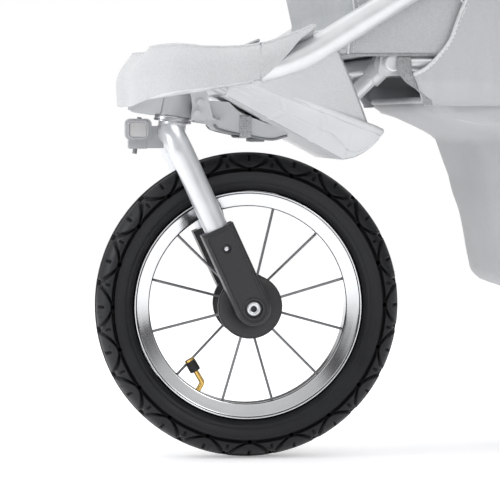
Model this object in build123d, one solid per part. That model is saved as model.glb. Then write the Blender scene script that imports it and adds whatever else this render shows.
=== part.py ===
from build123d import *
import math
import os

os.makedirs("parts", exist_ok=True)

# ------------------------------------------------------------------
# Jogging stroller with one swivelling front wheel and two large rear
# wheels.  All lengths in millimetres.
# Working frame: x runs rearward from the front axle, y = 0 is the
# mid-plane (near side is -y), z = 0 is the floor.  export_all() moves
# the finished part so that the middle of its length is at x = 0.
# ------------------------------------------------------------------
FRONT_R = 152.5          # 12 inch front tyre
REAR_R = 200.0           # 16 inch rear tyre
REAR_X = 690.0           # wheelbase
REAR_Y = 290.0           # rear wheel centre plane
SHIFT_X = -(REAR_X + REAR_R - FRONT_R) / 2

TUBE_R = 12.0            # main frame tube
TUBE_WALL = 1.6
SIDE_Y = 201.0           # side tube centre plane
HUB = (430.0, 645.0)     # folding pivot, x and z
CANOPY_HUB = (520.0, 760.0)
CANOPY_R = 262.0         # outside radius of the front canopy bay
LEG_Y = 223.0            # rear leg centre plane
HANDLE_Y = 241.0         # handle tube centre plane
BAR_Y = 259.0            # arms of the turning handlebar
HANDLE_ANGLE = 41.0      # slope of the handle tubes
HANDLE_LEN = 430.0       # folding pivot to handlebar pivot
BAR_LEN = 126.0          # handlebar pivot to grip centre
LEG_LEN = math.hypot(REAR_X - HUB[0], REAR_R - HUB[1])
UP_ANGLE = math.degrees(math.atan2(CANOPY_HUB[1] - HUB[1], CANOPY_HUB[0] - HUB[0]))

STEER = (-74.5, 336.0)   # swivel axis where it meets the crown ring
STEER_TILT = 8.0         # top of the swivel axis leans rearward
RAIL_Y = 176.0           # lower seat rail centre plane
RAIL_Z = 390.0
RAIL_R = 8.0
BACK_HINGE = (462.0, 428.0)
BACK_ANGLE = 20.0        # backrest lean from the vertical
SEAT_HALF = 163.0
PIN_OUT = 33.0           # swivel lock pin, forward of the swivel axis
STRUT_Y = 136.0          # footrest strut centre plane
FIT = 0.04               # radial running clearance


# ------------------------------------------------------------ helpers
NODES = {}


def add(name, *shapes):
    """Collect the solids of one named piece (a pair or a set shares one name)."""
    for shape in shapes:
        NODES.setdefault(name, []).extend(shape.solids())


def pair(shape):
    """A near side shape and its far side mirror image."""
    return shape, mirror(shape, about=Plane.XZ)


def add_pair(name, shape):
    add(name, *pair(shape))


def export_all():
    for name, solids in NODES.items():
        moved = [Pos(SHIFT_X, 0, 0) * solid for solid in solids]
        if len(moved) == 1:
            export_step(moved[0], f"parts/{name}.step")
        else:
            export_step(Compound(children=moved), f"parts/{name}.step")


def tube(points, radius, bend=0.0, wall=0.0):
    if bend > 0:
        path = FilletPolyline(*points, radius=bend)
    else:
        path = Polyline(*points)
    section = Circle(radius)
    if wall > 0:
        section = section - Circle(radius - wall)
    return sweep(Plane(origin=path @ 0, z_dir=path % 0) * section, path=path)


def rod(start, end, radius, bore=0.0):
    axis = Vector(*end) - Vector(*start)
    section = Circle(radius)
    if bore > 0:
        section = section - Circle(bore)
    return extrude(Plane(origin=start, z_dir=axis) * section, amount=axis.length)


def plate(points, y_low, y_high):
    """Side-view outline (x, z) as a plate between two y planes."""
    side = Plane(origin=(0, y_high, 0), x_dir=(1, 0, 0), z_dir=(0, -1, 0))
    face = make_face(Polyline(*points, close=True))
    return extrude(side * face, amount=y_high - y_low)


def smooth_plate(points, y_low, y_high, radius):
    side = Plane(origin=(0, y_high, 0), x_dir=(1, 0, 0), z_dir=(0, -1, 0))
    face = make_face(Polyline(*points, close=True))
    face = fillet(face.vertices(), radius)
    return extrude(side * face, amount=y_high - y_low)


def cross_pin(x, z, y_low, y_high, radius, bore=0.0):
    """Cylinder or ring along y."""
    return rod((x, y_low, z), (x, y_high, z), radius, bore)


def lathe_y(points, x, z, y=0.0):
    """Turn an (r, y) outline about the y direction through (x, z)."""
    face = make_face(Polyline(*points, close=True))
    return Pos(x, y, z) * revolve(face, axis=Axis.Y)


def block(x_low, x_high, y_low, y_high, z_low, z_high, edge=0.0):
    box = Pos((x_low + x_high) / 2, (y_low + y_high) / 2, (z_low + z_high) / 2) * Box(
        x_high - x_low, y_high - y_low, z_high - z_low
    )
    if edge > 0:
        box = fillet(box.edges().filter_by(Axis.Y), edge)
    return box


def at_angle(center, radius, degrees):
    a = math.radians(degrees)
    return center[0] + radius * math.cos(a), center[1] + radius * math.sin(a)


def steer_point(along, forward=0.0, side=0.0):
    """Point on or beside the swivel axis, measured from the crown ring."""
    t = math.radians(STEER_TILT)
    x = STEER[0] + along * math.sin(t) - forward * math.cos(t)
    z = STEER[1] + along * math.cos(t) + forward * math.sin(t)
    return x, side, z


# -------------------------------------------------------------- wheels
def make_tyre(radius, rim_r, half_width, x, z, y=0.0):
    w = half_width
    outer = [
        (rim_r + 0.1, 0.52 * w), (rim_r + 8, 0.74 * w), (rim_r + 0.45 * (radius - rim_r), w),
        (radius - 10, 0.86 * w), (radius - 2.5, 0.5 * w), (radius, 0.18 * w),
    ]
    inner = [
        (rim_r + 0.1, 0.52 * w - 4), (rim_r + 9, 0.74 * w - 4.5),
        (rim_r + 0.45 * (radius - rim_r), w - 4), (radius - 13, 0.8 * w - 3), (radius - 7, 0.2 * w),
    ]
    outline = outer + [(r, -v) for r, v in reversed(outer)]
    outline += [(r, -v) for r, v in inner] + [(r, v) for r, v in reversed(inner)]
    return lathe_y(outline, x, z, y)


def make_rim(rim_r, depth, half_width, x, z, y=0.0):
    w = half_width
    outline = [
        (rim_r, w), (rim_r - 3, w), (rim_r - depth, 0.55 * w), (rim_r - depth, -0.55 * w),
        (rim_r - 3, -w), (rim_r, -w), (rim_r, -w + 2.2), (rim_r - depth + 5, -0.5 * w + 1),
        (rim_r - depth + 5, 0.5 * w - 1), (rim_r, w - 2.2),
    ]
    return lathe_y(outline, x, z, y)


def make_spokes(count, first, r_in, r_out, y_in, y_out, radius, x, z, y=0.0):
    spokes = []
    for i in range(count):
        a = first + i * 360.0 / count
        side = -1 if i % 2 == 0 else 1
        x0, z0 = at_angle((x, z), r_in, a)
        x1, z1 = at_angle((x, z), r_out, a)
        spokes.append(rod((x0, y + side * y_in, z0), (x1, y + side * y_out, z1), radius))
    return spokes


def front_wheel():
    z = FRONT_R
    add("front_tyre", make_tyre(FRONT_R, 114.0, 24.0, 0, z))
    add("front_rim", make_rim(113.9, 14.2, 14.0, 0, z))
    add("front_spokes", *make_spokes(12, 15.0, 26.6, 99.4, 19.0, 5.0, 1.3, 0, z))
    hub = cross_pin(0, z, -29, 29, 13) + cross_pin(0, z, -22, -16, 26) + cross_pin(0, z, 16, 22, 26)
    add("front_hub", hub - cross_pin(0, z, -40, 40, 6 + FIT))
    cap = cross_pin(0, z, -28, -24, 32, 13 + FIT)
    add("front_hub", cap, mirror(cap, about=Plane.XZ))
    base = at_angle((0, z), 98.9, 240.0)
    neck = at_angle((0, z), 90.0, 240.0)
    tip = at_angle(neck, 14.0, 120.0)
    end = at_angle(neck, 27.0, 120.0)
    stem = tube([(base[0], 0, base[1]), (neck[0], 0, neck[1]), (tip[0], 0, tip[1])], 2.6, 4.0)
    add("front_valve", stem)
    add("front_valve", rod((tip[0], 0, tip[1]), (end[0], 0, end[1]), 5.0))


def rear_wheel(side, name):
    x, z, y = REAR_X, REAR_R, side * REAR_Y
    add(f"rear_tyre_{name}", make_tyre(REAR_R, 153.0, 25.0, x, z, y))
    add(f"rear_rim_{name}", make_rim(152.9, 14.0, 15.0, x, z, y))
    add(f"rear_rim_{name}", *make_spokes(16, 11.25, 28.6, 138.6, 20.0, 5.0, 1.3, x, z, y))
    hub = cross_pin(x, z, y - 28, y + 28, 14)
    hub += cross_pin(x, z, y - 23, y - 17, 28) + cross_pin(x, z, y + 17, y + 23, 28)
    outer = side * (REAR_Y + 28)
    inner = side * (REAR_Y - 28)
    shell = cross_pin(x, z, min(outer, outer + side * 3), max(outer, outer + side * 3), 22)
    hub += shell
    mid = side * (REAR_Y + 16)
    hub -= cross_pin(x, z, min(inner - side, mid), max(inner - side, mid), 7 + FIT)
    out = outer + side * 5
    hub -= cross_pin(x, z, min(mid, out), max(mid, out), 9 + FIT)
    add(f"rear_hub_{name}", hub)
    disc_in = side * (REAR_Y - 35)
    disc_out = side * (REAR_Y - 28)
    lo, hi = min(disc_in, disc_out), max(disc_in, disc_out)
    disc = cross_pin(x, z, lo, hi, 48, 8)
    for i in range(12):
        px, pz = at_angle((x, z), 38.0, i * 30.0)
        disc -= cross_pin(px, pz, lo - 1, hi + 1, 4.2)
    add(f"rear_hub_{name}", disc)
    b0 = side * (REAR_Y + 20)
    b1 = side * (REAR_Y + 33)
    add(f"wheel_release_{name}", cross_pin(x, z, min(b0, b1), max(b0, b1), 9))
    sx, sz = at_angle((x, z), 138.2, 250.0)
    vx, vz = at_angle((x, z), 112.0, 250.0)
    add(f"rear_rim_{name}", rod((sx, y, sz), (vx, y, vz), 3.0))


# ---------------------------------------------------------------- fork
def crown_saddle(margin=0.0):
    """Rounded block welded over the fork's arch, square to the steering axis."""
    tilt = math.radians(STEER_TILT)
    base = Plane(origin=steer_point(-13.0 - margin), x_dir=(0, 1, 0),
                 z_dir=(math.sin(tilt), 0, math.cos(tilt)))
    outline = base * SlotOverall(70.0 + 2 * margin, 24.0 + 2 * margin)
    return extrude(outline, amount=11.4 + 2 * margin)


def fork():
    z = FRONT_R
    tip = (-22.0, 201.0)
    knee = (-64.0, 294.0)
    crown = (-78.0, 324.0)
    legs = tube(
        [(tip[0], -44, tip[1]), (knee[0], -44, knee[1]), (crown[0], -44, crown[1]),
         (crown[0], 44, crown[1]), (knee[0], 44, knee[1]), (tip[0], 44, tip[1])],
        TUBE_R, 21.0, TUBE_WALL,
    )
    legs += crown_saddle()
    legs -= rod(steer_point(-16), steer_point(4), 8 + 0.01)
    add("fork_tube", legs)
    ring = rod(steer_point(-1.5), steer_point(4.5), 18.2) + rod(steer_point(-15), steer_point(20), 8)
    ring -= cross_pin(crown[0], crown[1], -20, 20, TUBE_R + 0.05)
    stub = rod(steer_point(-15), steer_point(4.5), 8)
    add("swivel_post", ring.solids().sort_by(SortBy.VOLUME)[-1] + stub)
    slope = 65.5
    top = at_angle((0, z), 86.0, 180.0 - slope)
    sleeve = extrude(
        Plane(origin=(0, -61, z), x_dir=(math.cos(math.radians(180 - slope)), 0,
              math.sin(math.radians(180 - slope))), z_dir=(0, 1, 0))
        * (Pos(43, 0) * Rectangle(86, 33.4) + Circle(16.7)), amount=28.5)
    sleeve = fillet(sleeve.edges().group_by(Axis.Y)[0], 3.0)
    sleeve -= tube([(tip[0] + 3, -44, tip[1] - 6.6), (knee[0], -44, knee[1]), (crown[0], -44, crown[1])],
                   TUBE_R + 0.05, 21.0)
    sleeve -= cross_pin(0, z, -70, -20, 6 + FIT)
    sleeve -= cross_pin(0, z, -70, -54, 8.6)
    screw = at_angle((0, z), 65.0, 180.0 - slope)
    sleeve -= cross_pin(screw[0], screw[1], -70, -56.5, 4.6)
    add_pair("fork_sleeves", sleeve)
    bolt = cross_pin(0, z, -54, 54, 6)
    heads = [cross_pin(0, z, -58.5, -54, 8), cross_pin(0, z, 54, 58.5, 8)]
    bolt += heads[0] + heads[1]
    bolt -= cross_pin(0, z, -60, -55, 3) + cross_pin(0, z, 55, 60, 3)
    add("fork_fasteners", bolt)
    spacer = cross_pin(0, z, -32.4, -29.3, 10, 6 + FIT)
    add("fork_fasteners", *pair(spacer))
    body = block(-121.5, -96, -11, 11, 316.6, 338.2, 5.5)
    body += block(-118.7, -99.6, -7, 7, 308.4, 320, 1.5)
    body += block(-100, -84, -9, 9, 309, 331)
    body -= rod(steer_point(-42, PIN_OUT), steer_point(10, PIN_OUT), 2.25 + 0.05)
    body -= cross_pin(crown[0], crown[1], -20, 20, TUBE_R + 0.05)
    body -= crown_saddle(0.05)
    add("lock_block", body.solids().sort_by(SortBy.VOLUME)[-1])
    rivet = cross_pin(screw[0], screw[1], -58.3, -56.6, 4.2)
    add("fork_fasteners", *pair(rivet))


def lock_pin():
    add("swivel_lock_pin", rod(steer_point(-37.5, PIN_OUT), steer_point(-1.0, PIN_OUT), 2.25))


# --------------------------------------------------------- front frame
BOW = [(-8.0, -203.2, 383.8), (-72.0, -186.0, 373.9), (-108.0, -118.0, 368.2)]


def front_frame():
    near = BOW
    far = [(x, -y, z) for x, y, z in reversed(near)]
    bow = tube(near + far, TUBE_R, 48.0, TUBE_WALL)
    bow -= block(-20.2, 40, -260, 260, 330, 430)
    add("front_bow", bow)
    start = (-30.0, -199.8, 380.4)
    bend = (18.4, -SIDE_Y, 388.0)
    slope = math.atan2(HUB[1] - bend[2], HUB[0] - bend[0])
    end = (HUB[0] - 24 * math.cos(slope), -SIDE_Y, HUB[1] - 24 * math.sin(slope))
    side_tube = tube([start, bend, end], TUBE_R, 150.0, TUBE_WALL)
    side_tube -= block(-60, -19.8, -260, 0, 330, 430)
    add_pair("side_tubes", side_tube)
    button = rod((-14.0, -204.8, 376.8), (-14.0, -209.4, 370.7), 3.8)
    add_pair("frame_bolts", button - rod(start, bend, TUBE_R + 0.1))
    angle = math.degrees(slope)
    hub = cross_pin(HUB[0], HUB[1], -213.4, -188.5, 30)
    hub = fillet(hub.edges().filter_by(GeomType.CIRCLE), 2.5)
    for direction, length in ((180 + angle, 62), (UP_ANGLE, 60)):
        ex, ez = at_angle(HUB, length, direction)
        hub += rod((HUB[0], -SIDE_Y, HUB[1]), (ex, -SIDE_Y, ez), 14.4)
        sx, sz = at_angle(HUB, 23.0, direction)
        fx, fz = at_angle(HUB, 90.0, direction)
        hub -= rod((sx, -SIDE_Y, sz), (fx, -SIDE_Y, fz), TUBE_R + 0.03)
    hub -= block(300, 600, -240, -213.4, 500, 800)
    hub -= block(300, 600, -188.5, -170, 500, 800)
    hub -= cross_pin(HUB[0], HUB[1], -230, -180, 6 + FIT)
    add_pair("frame_joints", hub)
    sx, sz = at_angle(HUB, 24.0, UP_ANGLE)
    up_len = math.hypot(CANOPY_HUB[0] - HUB[0], CANOPY_HUB[1] - HUB[1])
    ex, ez = at_angle(HUB, up_len - 19.0, UP_ANGLE)
    add_pair("side_tubes", rod((sx, -SIDE_Y, sz), (ex, -SIDE_Y, ez), TUBE_R, TUBE_R - TUBE_WALL))
    boss = cross_pin(CANOPY_HUB[0], CANOPY_HUB[1], -201, -188, 19)
    lx, lz = at_angle(CANOPY_HUB, 46.0, UP_ANGLE + 180)
    fx, fz = at_angle(CANOPY_HUB, 80.0, UP_ANGLE + 180)
    boss += rod((CANOPY_HUB[0], -SIDE_Y + 6, CANOPY_HUB[1]), (lx, -SIDE_Y, lz), 14.4)
    qx, qz = at_angle(CANOPY_HUB, 18.5, UP_ANGLE + 180)
    boss -= rod((qx, -SIDE_Y, qz), (fx, -SIDE_Y, fz), TUBE_R + 0.03)
    boss -= block(460, 580, -230, -201, 742, 800)
    boss -= block(440, 580, -188, -170, 680, 800)
    boss -= cross_pin(CANOPY_HUB[0], CANOPY_HUB[1], -240, -180, 5 + FIT)
    add_pair("frame_joints", boss)
    pivot = cross_pin(HUB[0], HUB[1], -256, -166, 6) + cross_pin(HUB[0], HUB[1], -261, -254, 13)
    add_pair("frame_bolts", pivot)
    pin = cross_pin(CANOPY_HUB[0], CANOPY_HUB[1], -221, -186, 5)
    pin += cross_pin(CANOPY_HUB[0], CANOPY_HUB[1], -224.5, -220.4, 12)
    add_pair("frame_bolts", pin)


def lower_frame():
    rail = tube([(124.5, -RAIL_Y, RAIL_Z), (478, -RAIL_Y, RAIL_Z), (438, -RAIL_Y, 626)],
                RAIL_R, 40.0, 1.5)
    add_pair("seat_rails", rail)
    eye = cross_pin(HUB[0], HUB[1], -184, -168, 17, 6 + FIT)
    eye += rod((441.2, -RAIL_Y, 607), (436, -RAIL_Y, 636), 9.4)
    eye -= rod((449, -RAIL_Y, 561), (438, -RAIL_Y, 626), RAIL_R + 0.05)
    eye -= cross_pin(HUB[0], HUB[1], -190, -160, 6 + FIT)
    add_pair("seat_rails", eye)
    bar = rod((116, -180, RAIL_Z), (116, 180, RAIL_Z), RAIL_R, RAIL_R - 1.5)
    add("seat_crossbars", bar)
    cap = cross_pin(116, RAIL_Z, -183.2, -180.1, RAIL_R)
    add_pair("seat_crossbars", fillet(cap.edges().group_by(Axis.Y)[0], 1.5))
    rear = rod((470, -167, 396), (470, 167, 396), 7, 5.5)
    add("seat_crossbars", rear)
    hanger = smooth_plate([(103, 378), (129, 378), (137, 470), (119, 470)], -167.8, -164.8, 4)
    hanger -= cross_pin(128, 456, -190, -150, 3.25)
    hanger -= cross_pin(116, RAIL_Z, -190, -150, RAIL_R + 0.05)
    add_pair("seat_rails", hanger)
    bolt = cross_pin(128, 456, -203, -161, 3.2) + cross_pin(128, 456, -164.7, -159, 7)
    slope = math.atan2(HUB[1] - 394.0, HUB[0] - 28.0)
    s = (28.0, -SIDE_Y, 394.0)
    bolt -= rod(s, (HUB[0], -SIDE_Y, HUB[1]), TUBE_R + 0.1)
    add_pair("frame_bolts", bolt.solids().sort_by(SortBy.VOLUME)[-1])
    upper = (108.2, -STRUT_Y, 382.5)
    lower = (66.0, -STRUT_Y, 342.1)
    strut = rod(upper, lower, 7.5, 5.9)
    add_pair("footrest_struts", (strut - pan_solid()).solids().sort_by(SortBy.VOLUME)[-1])
    clamp = cross_pin(116, RAIL_Z, -STRUT_Y - 10, -STRUT_Y + 10, 12.2)
    clamp += rod((112, -STRUT_Y, 386.1), (101, -STRUT_Y, 375.6), 10)
    clamp -= cross_pin(116, RAIL_Z, -170, -100, RAIL_R + 0.05)
    clamp -= rod(upper, lower, 7.55)
    add_pair("footrest_struts", clamp.solids().sort_by(SortBy.VOLUME)[-1])
    socket = rod((73, -STRUT_Y, 348.8), (59, -STRUT_Y, 335.4), 9.4)
    socket -= rod(upper, lower, 7.55)
    socket -= pan_solid()
    add_pair("footrest_struts", socket.solids().sort_by(SortBy.VOLUME)[-1])


def nose():
    center = (BOW[2][0], BOW[2][2])
    body = rod(steer_point(5), steer_point(26), 19)
    body += plate([(-118, 347), (-114, 344.5), (-93.5, 341.6), (-93, 343.9), (-88, 343.2), (-84, 362),
                   (-100, 370), (-114, 368)], -15, 15)
    body += cross_pin(center[0], center[1], -24, 24, 15.5)
    body -= block(-140, -120.6, -40, 40, 320, 400)
    body -= tube(BOW + [(x, -y, z) for x, y, z in reversed(BOW)], TUBE_R + 0.05, 48.0)
    body -= rod(steer_point(-5), steer_point(21), 8 + FIT)
    body -= rod(steer_point(-5, PIN_OUT), steer_point(14, PIN_OUT), 2.25 + 0.05)
    add("swivel_housing", body.solids().sort_by(SortBy.VOLUME)[-1])
    cap = rod(steer_point(26.1), steer_point(31), 17)
    add("swivel_housing", fillet(cap.edges().group_by(Axis.Z)[-1], 2.5))
    bar = rod((-42, -188, 378.5), (-42, 188, 378.5), 8, 6.5)
    hole = tube(BOW, TUBE_R + 0.1, 48.0)
    bar -= hole
    bar -= mirror(hole, about=Plane.XZ)
    add("seat_crossbars", bar.solids().sort_by(SortBy.VOLUME)[-1])
    outer = [(-56, 335.4), (-38, 332.6), (-33, 327.2), (-11, 321.8), (1, 319.8), (20, 317), (36, 320.9),
             (36, 323.8), (20, 331.8), (-12, 344), (-22, 354.5), (-56, 357)]
    shell = plate(outer, -38, 38)
    inner = [(-51, 338.4), (-36.6, 335.6), (-31, 330), (-10.5, 324.8), (1.2, 322.8), (19, 320.2),
             (27, 322), (18.6, 328.6), (-14, 341.2), (-23.8, 351.6), (-51, 353.6)]
    shell -= plate(inner, -35.4, 35.4)
    shell -= rod(steer_point(0), steer_point(40), 19.4)
    shell -= rod(steer_point(-8), steer_point(7.4), PIN_OUT + 2.7)
    add("belly_shell", shell.solids().sort_by(SortBy.VOLUME)[-1])
    tri = plate([(-60.2, 336.6), (-58.4, 350), (-60.4, 364), (-54, 388), (-32, 388), (-32, 374),
                 (-44.7, 364.7), (-38.4, 339), (-31, 336.2)], -44.5, -38.6)
    tri -= cross_pin(-42, 378.5, -60, -20, 8.05)
    add_pair("nose_brackets", tri)
    bolts = []
    for x, z in ((-54.6, 343.0), (-51.4, 353.8)):
        for side in (-1, 1):
            a, b = side * 44.6, side * 48.4
            bolts.append(cross_pin(x, z, min(a, b), max(a, b), 3.4))
    add("nose_brackets", *bolts)


def pan_section(x, half_top, top, half_bottom, bottom):
    cross = Plane(origin=(x, 0, 0), x_dir=(0, 1, 0), z_dir=(1, 0, 0))
    points = [(-half_top, top), (-half_bottom, bottom), (half_bottom, bottom), (half_top, top)]
    return cross * make_face(Polyline(*points, close=True))


def pan_solid():
    """Boat-shaped footrest tray, open on top."""
    keel = [(-30, 361.6), (20, 334.2), (81.9, 300.4), (91.6, 302.5), (98.6, 307.4), (104.4, 312.7),
            (109.5, 319), (112.5, 322.5)]
    outer = []
    inner = []
    for x, bottom in keel:
        top = 369.0 - 0.386 * (x - 1.6)
        half_bottom = 96.0 + 1.1 * max(0.0, x - 85)
        outer.append(pan_section(x, 148, top, half_bottom, bottom))
        xi = min(max(x, -27), 109.5)
        floor = min(bottom + 3, top - 1)
        inner.append(pan_section(xi, 145, top + 0.5, half_bottom - 1.5, floor))
    return loft(outer, ruled=True) - loft(inner, ruled=True)


def footrest():
    add("footrest_pan", pan_solid())


# --------------------------------------------------------------- fabric
def bow_band(offset, z_low, z_high):
    """Closed plan shape that follows the front bow, offset from its centre line."""
    plan = [(90.0, -203.0), (-20.0, -200.0), (-72.0, -186.0), (-108.0, -118.0), (-108.0, 118.0),
            (-72.0, 186.0), (-20.0, 200.0), (90.0, 203.0)]
    path = FilletPolyline(*plan, radius=44.0)
    face = make_face([path, Line(path @ 1, path @ 0)])
    grown = offset_2d_face(face, offset)
    return Pos(0, 0, z_low) * extrude(grown, amount=z_high - z_low)


def offset_2d_face(face, amount):
    if amount == 0:
        return face
    return offset(face, amount=amount, kind=Kind.INTERSECTION)


def toe_guard():
    wall = bow_band(15.4, 330, 460) - bow_band(13.0, 320, 470)
    side = [(-126, 350), (-118, 352.5), (-108, 357.5), (-100, 360), (-72, 364.6), (-21, 372.5),
            (-12, 374.6), (-4, 381), (6, 391.2), (14.5, 400), (24, 411.5), (34, 419), (21, 415.5),
            (3, 410), (-14, 406), (-27, 403.3), (-62, 402.7), (-85, 405.8), (-94, 404.7),
            (-108, 396.5), (-126, 386)]
    wall = wall & plate(side, -230, 230)
    add("toe_guard", wall.solids().sort_by(SortBy.VOLUME)[-1])


def side_panels():
    footwell = [(-24, 372), (98, 327), (99, 334), (88, 348), (82, 362), (75, 378), (67, 396),
                (30, 396), (6, 384), (-24, 380)]
    add_pair("footwell_fabric", plate(footwell, -170.5, -168.8))
    seat = [(62, 400), (67.5, 437), (61, 466), (60, 476), (72, 498), (200, 580), (400, 708), (472, 724),
            (506, 620), (488, 399)]
    panel = plate(seat, -187.4, -185.6)
    panel -= cross_pin(HUB[0], HUB[1], -200, -180, 8)
    panel -= cross_pin(128, 456, -200, -180, 5)
    add_pair("seat_side_panels", panel)
    add("seat_side_panels", block(61.5, 64, -184, 184, 400, 470))
    add("footwell_fabric", block(98.5, 101, -120, 120, 338, 397))


def seat():
    board = block(66, 426, -SEAT_HALF - 20.5, SEAT_HALF + 20.5, 398.4, 402.4)
    board -= block(102, 142, -170, -122, 390, 410) + block(102, 142, 122, 170, 390, 410)
    add("seat_board", board)
    profile = [(66, 403), (430, 403), (430, 434), (100, 466), (66, 452)]
    cushion = fillet(plate(profile, -158, 158).edges(), 8)
    add("seat_cushion", cushion)
    add("harness_straps", block(226, 230, -14, 14, 457, 496))
    for side in (-1, 1):
        y0, y1 = sorted((side * 26.5, side * 150))
        add("harness_straps", block(222, 226, y0, y1, 500, 522))
    buckle = block(216, 232, -26, 26, 496.4, 526, 5)
    buckle -= rod((210, 0, 511), (222, 0, 511), 8 + 0.06)
    add("harness_buckle", buckle)
    add("buckle_button", rod((213.2, 0, 511), (219.5, 0, 511), 8))


def backrest():
    a = math.radians(90 - BACK_ANGLE)
    ux, uz = math.cos(a), math.sin(a)
    nx, nz = -math.sin(a), math.cos(a)

    def at(along, front):
        return BACK_HINGE[0] + along * ux + front * nx, BACK_HINGE[1] + along * uz + front * nz

    frame_pts = [at(30, 0), at(400, 0)]
    ring = tube(
        [(frame_pts[0][0], -150, frame_pts[0][1]), (frame_pts[1][0], -150, frame_pts[1][1]),
         (frame_pts[1][0], 150, frame_pts[1][1]), (frame_pts[0][0], 150, frame_pts[0][1])],
        6.0, 40.0, 1.4)
    add("backrest_frame", ring)
    hinge = []
    for side in (-1, 1):
        y0, y1 = sorted((side * 143, side * 157))
        eye = cross_pin(BACK_HINGE[0], BACK_HINGE[1], y0, y1, 11, 5 + FIT)
        start, end = at(8, 0), at(48, 0)
        eye += rod((start[0], side * 150, start[1]), (end[0], side * 150, end[1]), 7.8)
        low, high = at(30, 0), at(90, 0)
        eye -= rod((low[0], side * 150, low[1]), (high[0], side * 150, high[1]), 6.03)
        eye -= cross_pin(BACK_HINGE[0], BACK_HINGE[1], y0 - 5, y1 + 5, 5 + FIT)
        hinge.append(eye)
    add("backrest_frame", *hinge)
    pad_pts = [at(14, 8.4), at(405, 8.4), at(405, 32), at(14, 32)]
    pad = plate(pad_pts, -SEAT_HALF, SEAT_HALF)
    pad = fillet(pad.edges(), 10)
    add("backrest_pad", pad)
    sling = plate([at(50, -8.4), at(392, -8.4), at(392, -6.5), at(50, -6.5)], -146, 146)
    add("backrest_pad", sling)
    for side in (-1, 1):
        y0, y1 = sorted((side * 42, side * 64))
        strap = plate([at(120, 32.4), at(345, 32.4), at(345, 35), at(120, 35)], y0, y1)
        add("shoulder_straps", strap)
        y0, y1 = sorted((side * 38, side * 68))
        tab = plate([at(228, 35.4), at(330, 35.4), at(330, 43), at(228, 43)], y0, y1)
        add("shoulder_straps", fillet(tab.edges(), 2.2))


def back_mounts():
    brackets = []
    for side in (-1, 1):
        y0, y1 = sorted((side * 158, side * 162))
        ear = smooth_plate([(452, 385), (482, 385), (478, 440), (448, 440)], y0, y1, 4)
        ear -= cross_pin(470, 396, -190, 190, 7.03)
        ear -= cross_pin(BACK_HINGE[0], BACK_HINGE[1], -190, 190, 5.0)
        brackets.append(ear)
    add("seat_crossbars", *brackets)
    add("seat_crossbars", cross_pin(BACK_HINGE[0], BACK_HINGE[1], -166, 166, 4.97))


def basket():
    outer = [(146, 352), (164, 300), (180, 240), (196, 196), (218, 168), (500, 168), (570, 180),
             (596, 204), (602, 320)]
    inner = [(149.4, 356), (167, 300.5), (183, 241), (198.6, 197.6), (219.4, 170.6), (499, 170.6),
             (568.6, 182.4), (593.4, 205.4), (599.4, 356)]
    body = plate(outer + [(602, 352)], -170, 170)
    body -= plate(inner, -167.4, 167.4)
    profile = [(-170, 330), (-170, 352), (-190.2, 374), (-190.2, 600), (-188.4, 600), (-188.4, 374.7),
               (-168.2, 352.7), (-168.2, 330)]
    section = Plane(origin=(110, 0, 0), x_dir=(0, 1, 0), z_dir=(1, 0, 0))
    curtain = extrude(section * make_face(Polyline(*profile, close=True)), amount=500)
    side = [(146, 340), (146, 352), (144, 358), (137, 365), (125, 373), (118, 385), (119, 396), (131.5, 396),
            (132.4, 380), (136, 377), (142, 376.2), (152.3, 384), (158, 389), (163.3, 398), (170, 412.6),
            (172, 429), (178, 447), (198, 482), (310, 552), (400, 470), (500, 400), (602, 352), (602, 340)]
    curtain = curtain & plate(side, -200, 0)
    body += curtain + mirror(curtain, about=Plane.XZ)
    add("storage_basket", body)
    straps = []
    for side in (-1, 1):
        y0, y1 = sorted((side * 92, side * 112))
        y2, y3 = sorted((side * 120, side * 140))
        straps.append(plate([(119, 381), (122, 381), (150, 352.5), (146.2, 352.5)], y0, y1))
        straps.append(plate([(475.5, 387.5), (478.2, 389), (600.5, 352.5), (594, 352.5)], y2, y3))
    add("storage_basket", *straps)


# --------------------------------------------------------------- canopy
def canopy_section(radius, half_width, thickness, inner_radius):
    """Half-hood outline in the rib plane: x is the distance from the hinge line."""
    r, w = radius, half_width
    outer = [(inner_radius, -w), (r * 0.55, -w), (r * 0.86, -w * 0.93), (r * 0.97, -w * 0.72),
             (r, -w * 0.4), (r, w * 0.4), (r * 0.97, w * 0.72), (r * 0.86, w * 0.93), (r * 0.55, w),
             (inner_radius, w)]
    t = thickness
    ri, wi = r - t, w - t
    inner = [(inner_radius, wi), (ri * 0.55, wi), (ri * 0.86, wi * 0.93), (ri * 0.97, wi * 0.72),
             (ri, wi * 0.4), (ri, -wi * 0.4), (ri * 0.97, -wi * 0.72), (ri * 0.86, -wi * 0.93),
             (ri * 0.55, -wi), (inner_radius, -wi)]
    return make_face(Polyline(*(outer + inner), close=True))


def canopy_bay(radius, half_width, thickness, start, end):
    """Hood slice swept about the hinge line from one slope to another (degrees)."""
    face = canopy_section(radius, half_width, thickness, 84.0)
    bay = revolve(face, axis=Axis.Y, revolution_arc=end - start)
    return Pos(CANOPY_HUB[0], 0, CANOPY_HUB[1]) * Rot(0, -end, 0) * bay


def canopy_rib(radius, half_width, slope, y_disc):
    c = math.cos(math.radians(slope))
    s = math.sin(math.radians(slope))

    def at(rho, y):
        return CANOPY_HUB[0] + rho * c, y, CANOPY_HUB[1] + rho * s

    w = half_width
    r = radius
    points = [at(13, -y_disc), at(40, -y_disc), at(74, -w), at(r * 0.55, -w),
              at(r * 0.86, -w * 0.93), at(r, -w * 0.6), at(r, w * 0.6), at(r * 0.86, w * 0.93),
              at(r * 0.55, w), at(74, w), at(40, y_disc), at(13, y_disc)]
    return tube(points, 2.8, 12.0)


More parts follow.
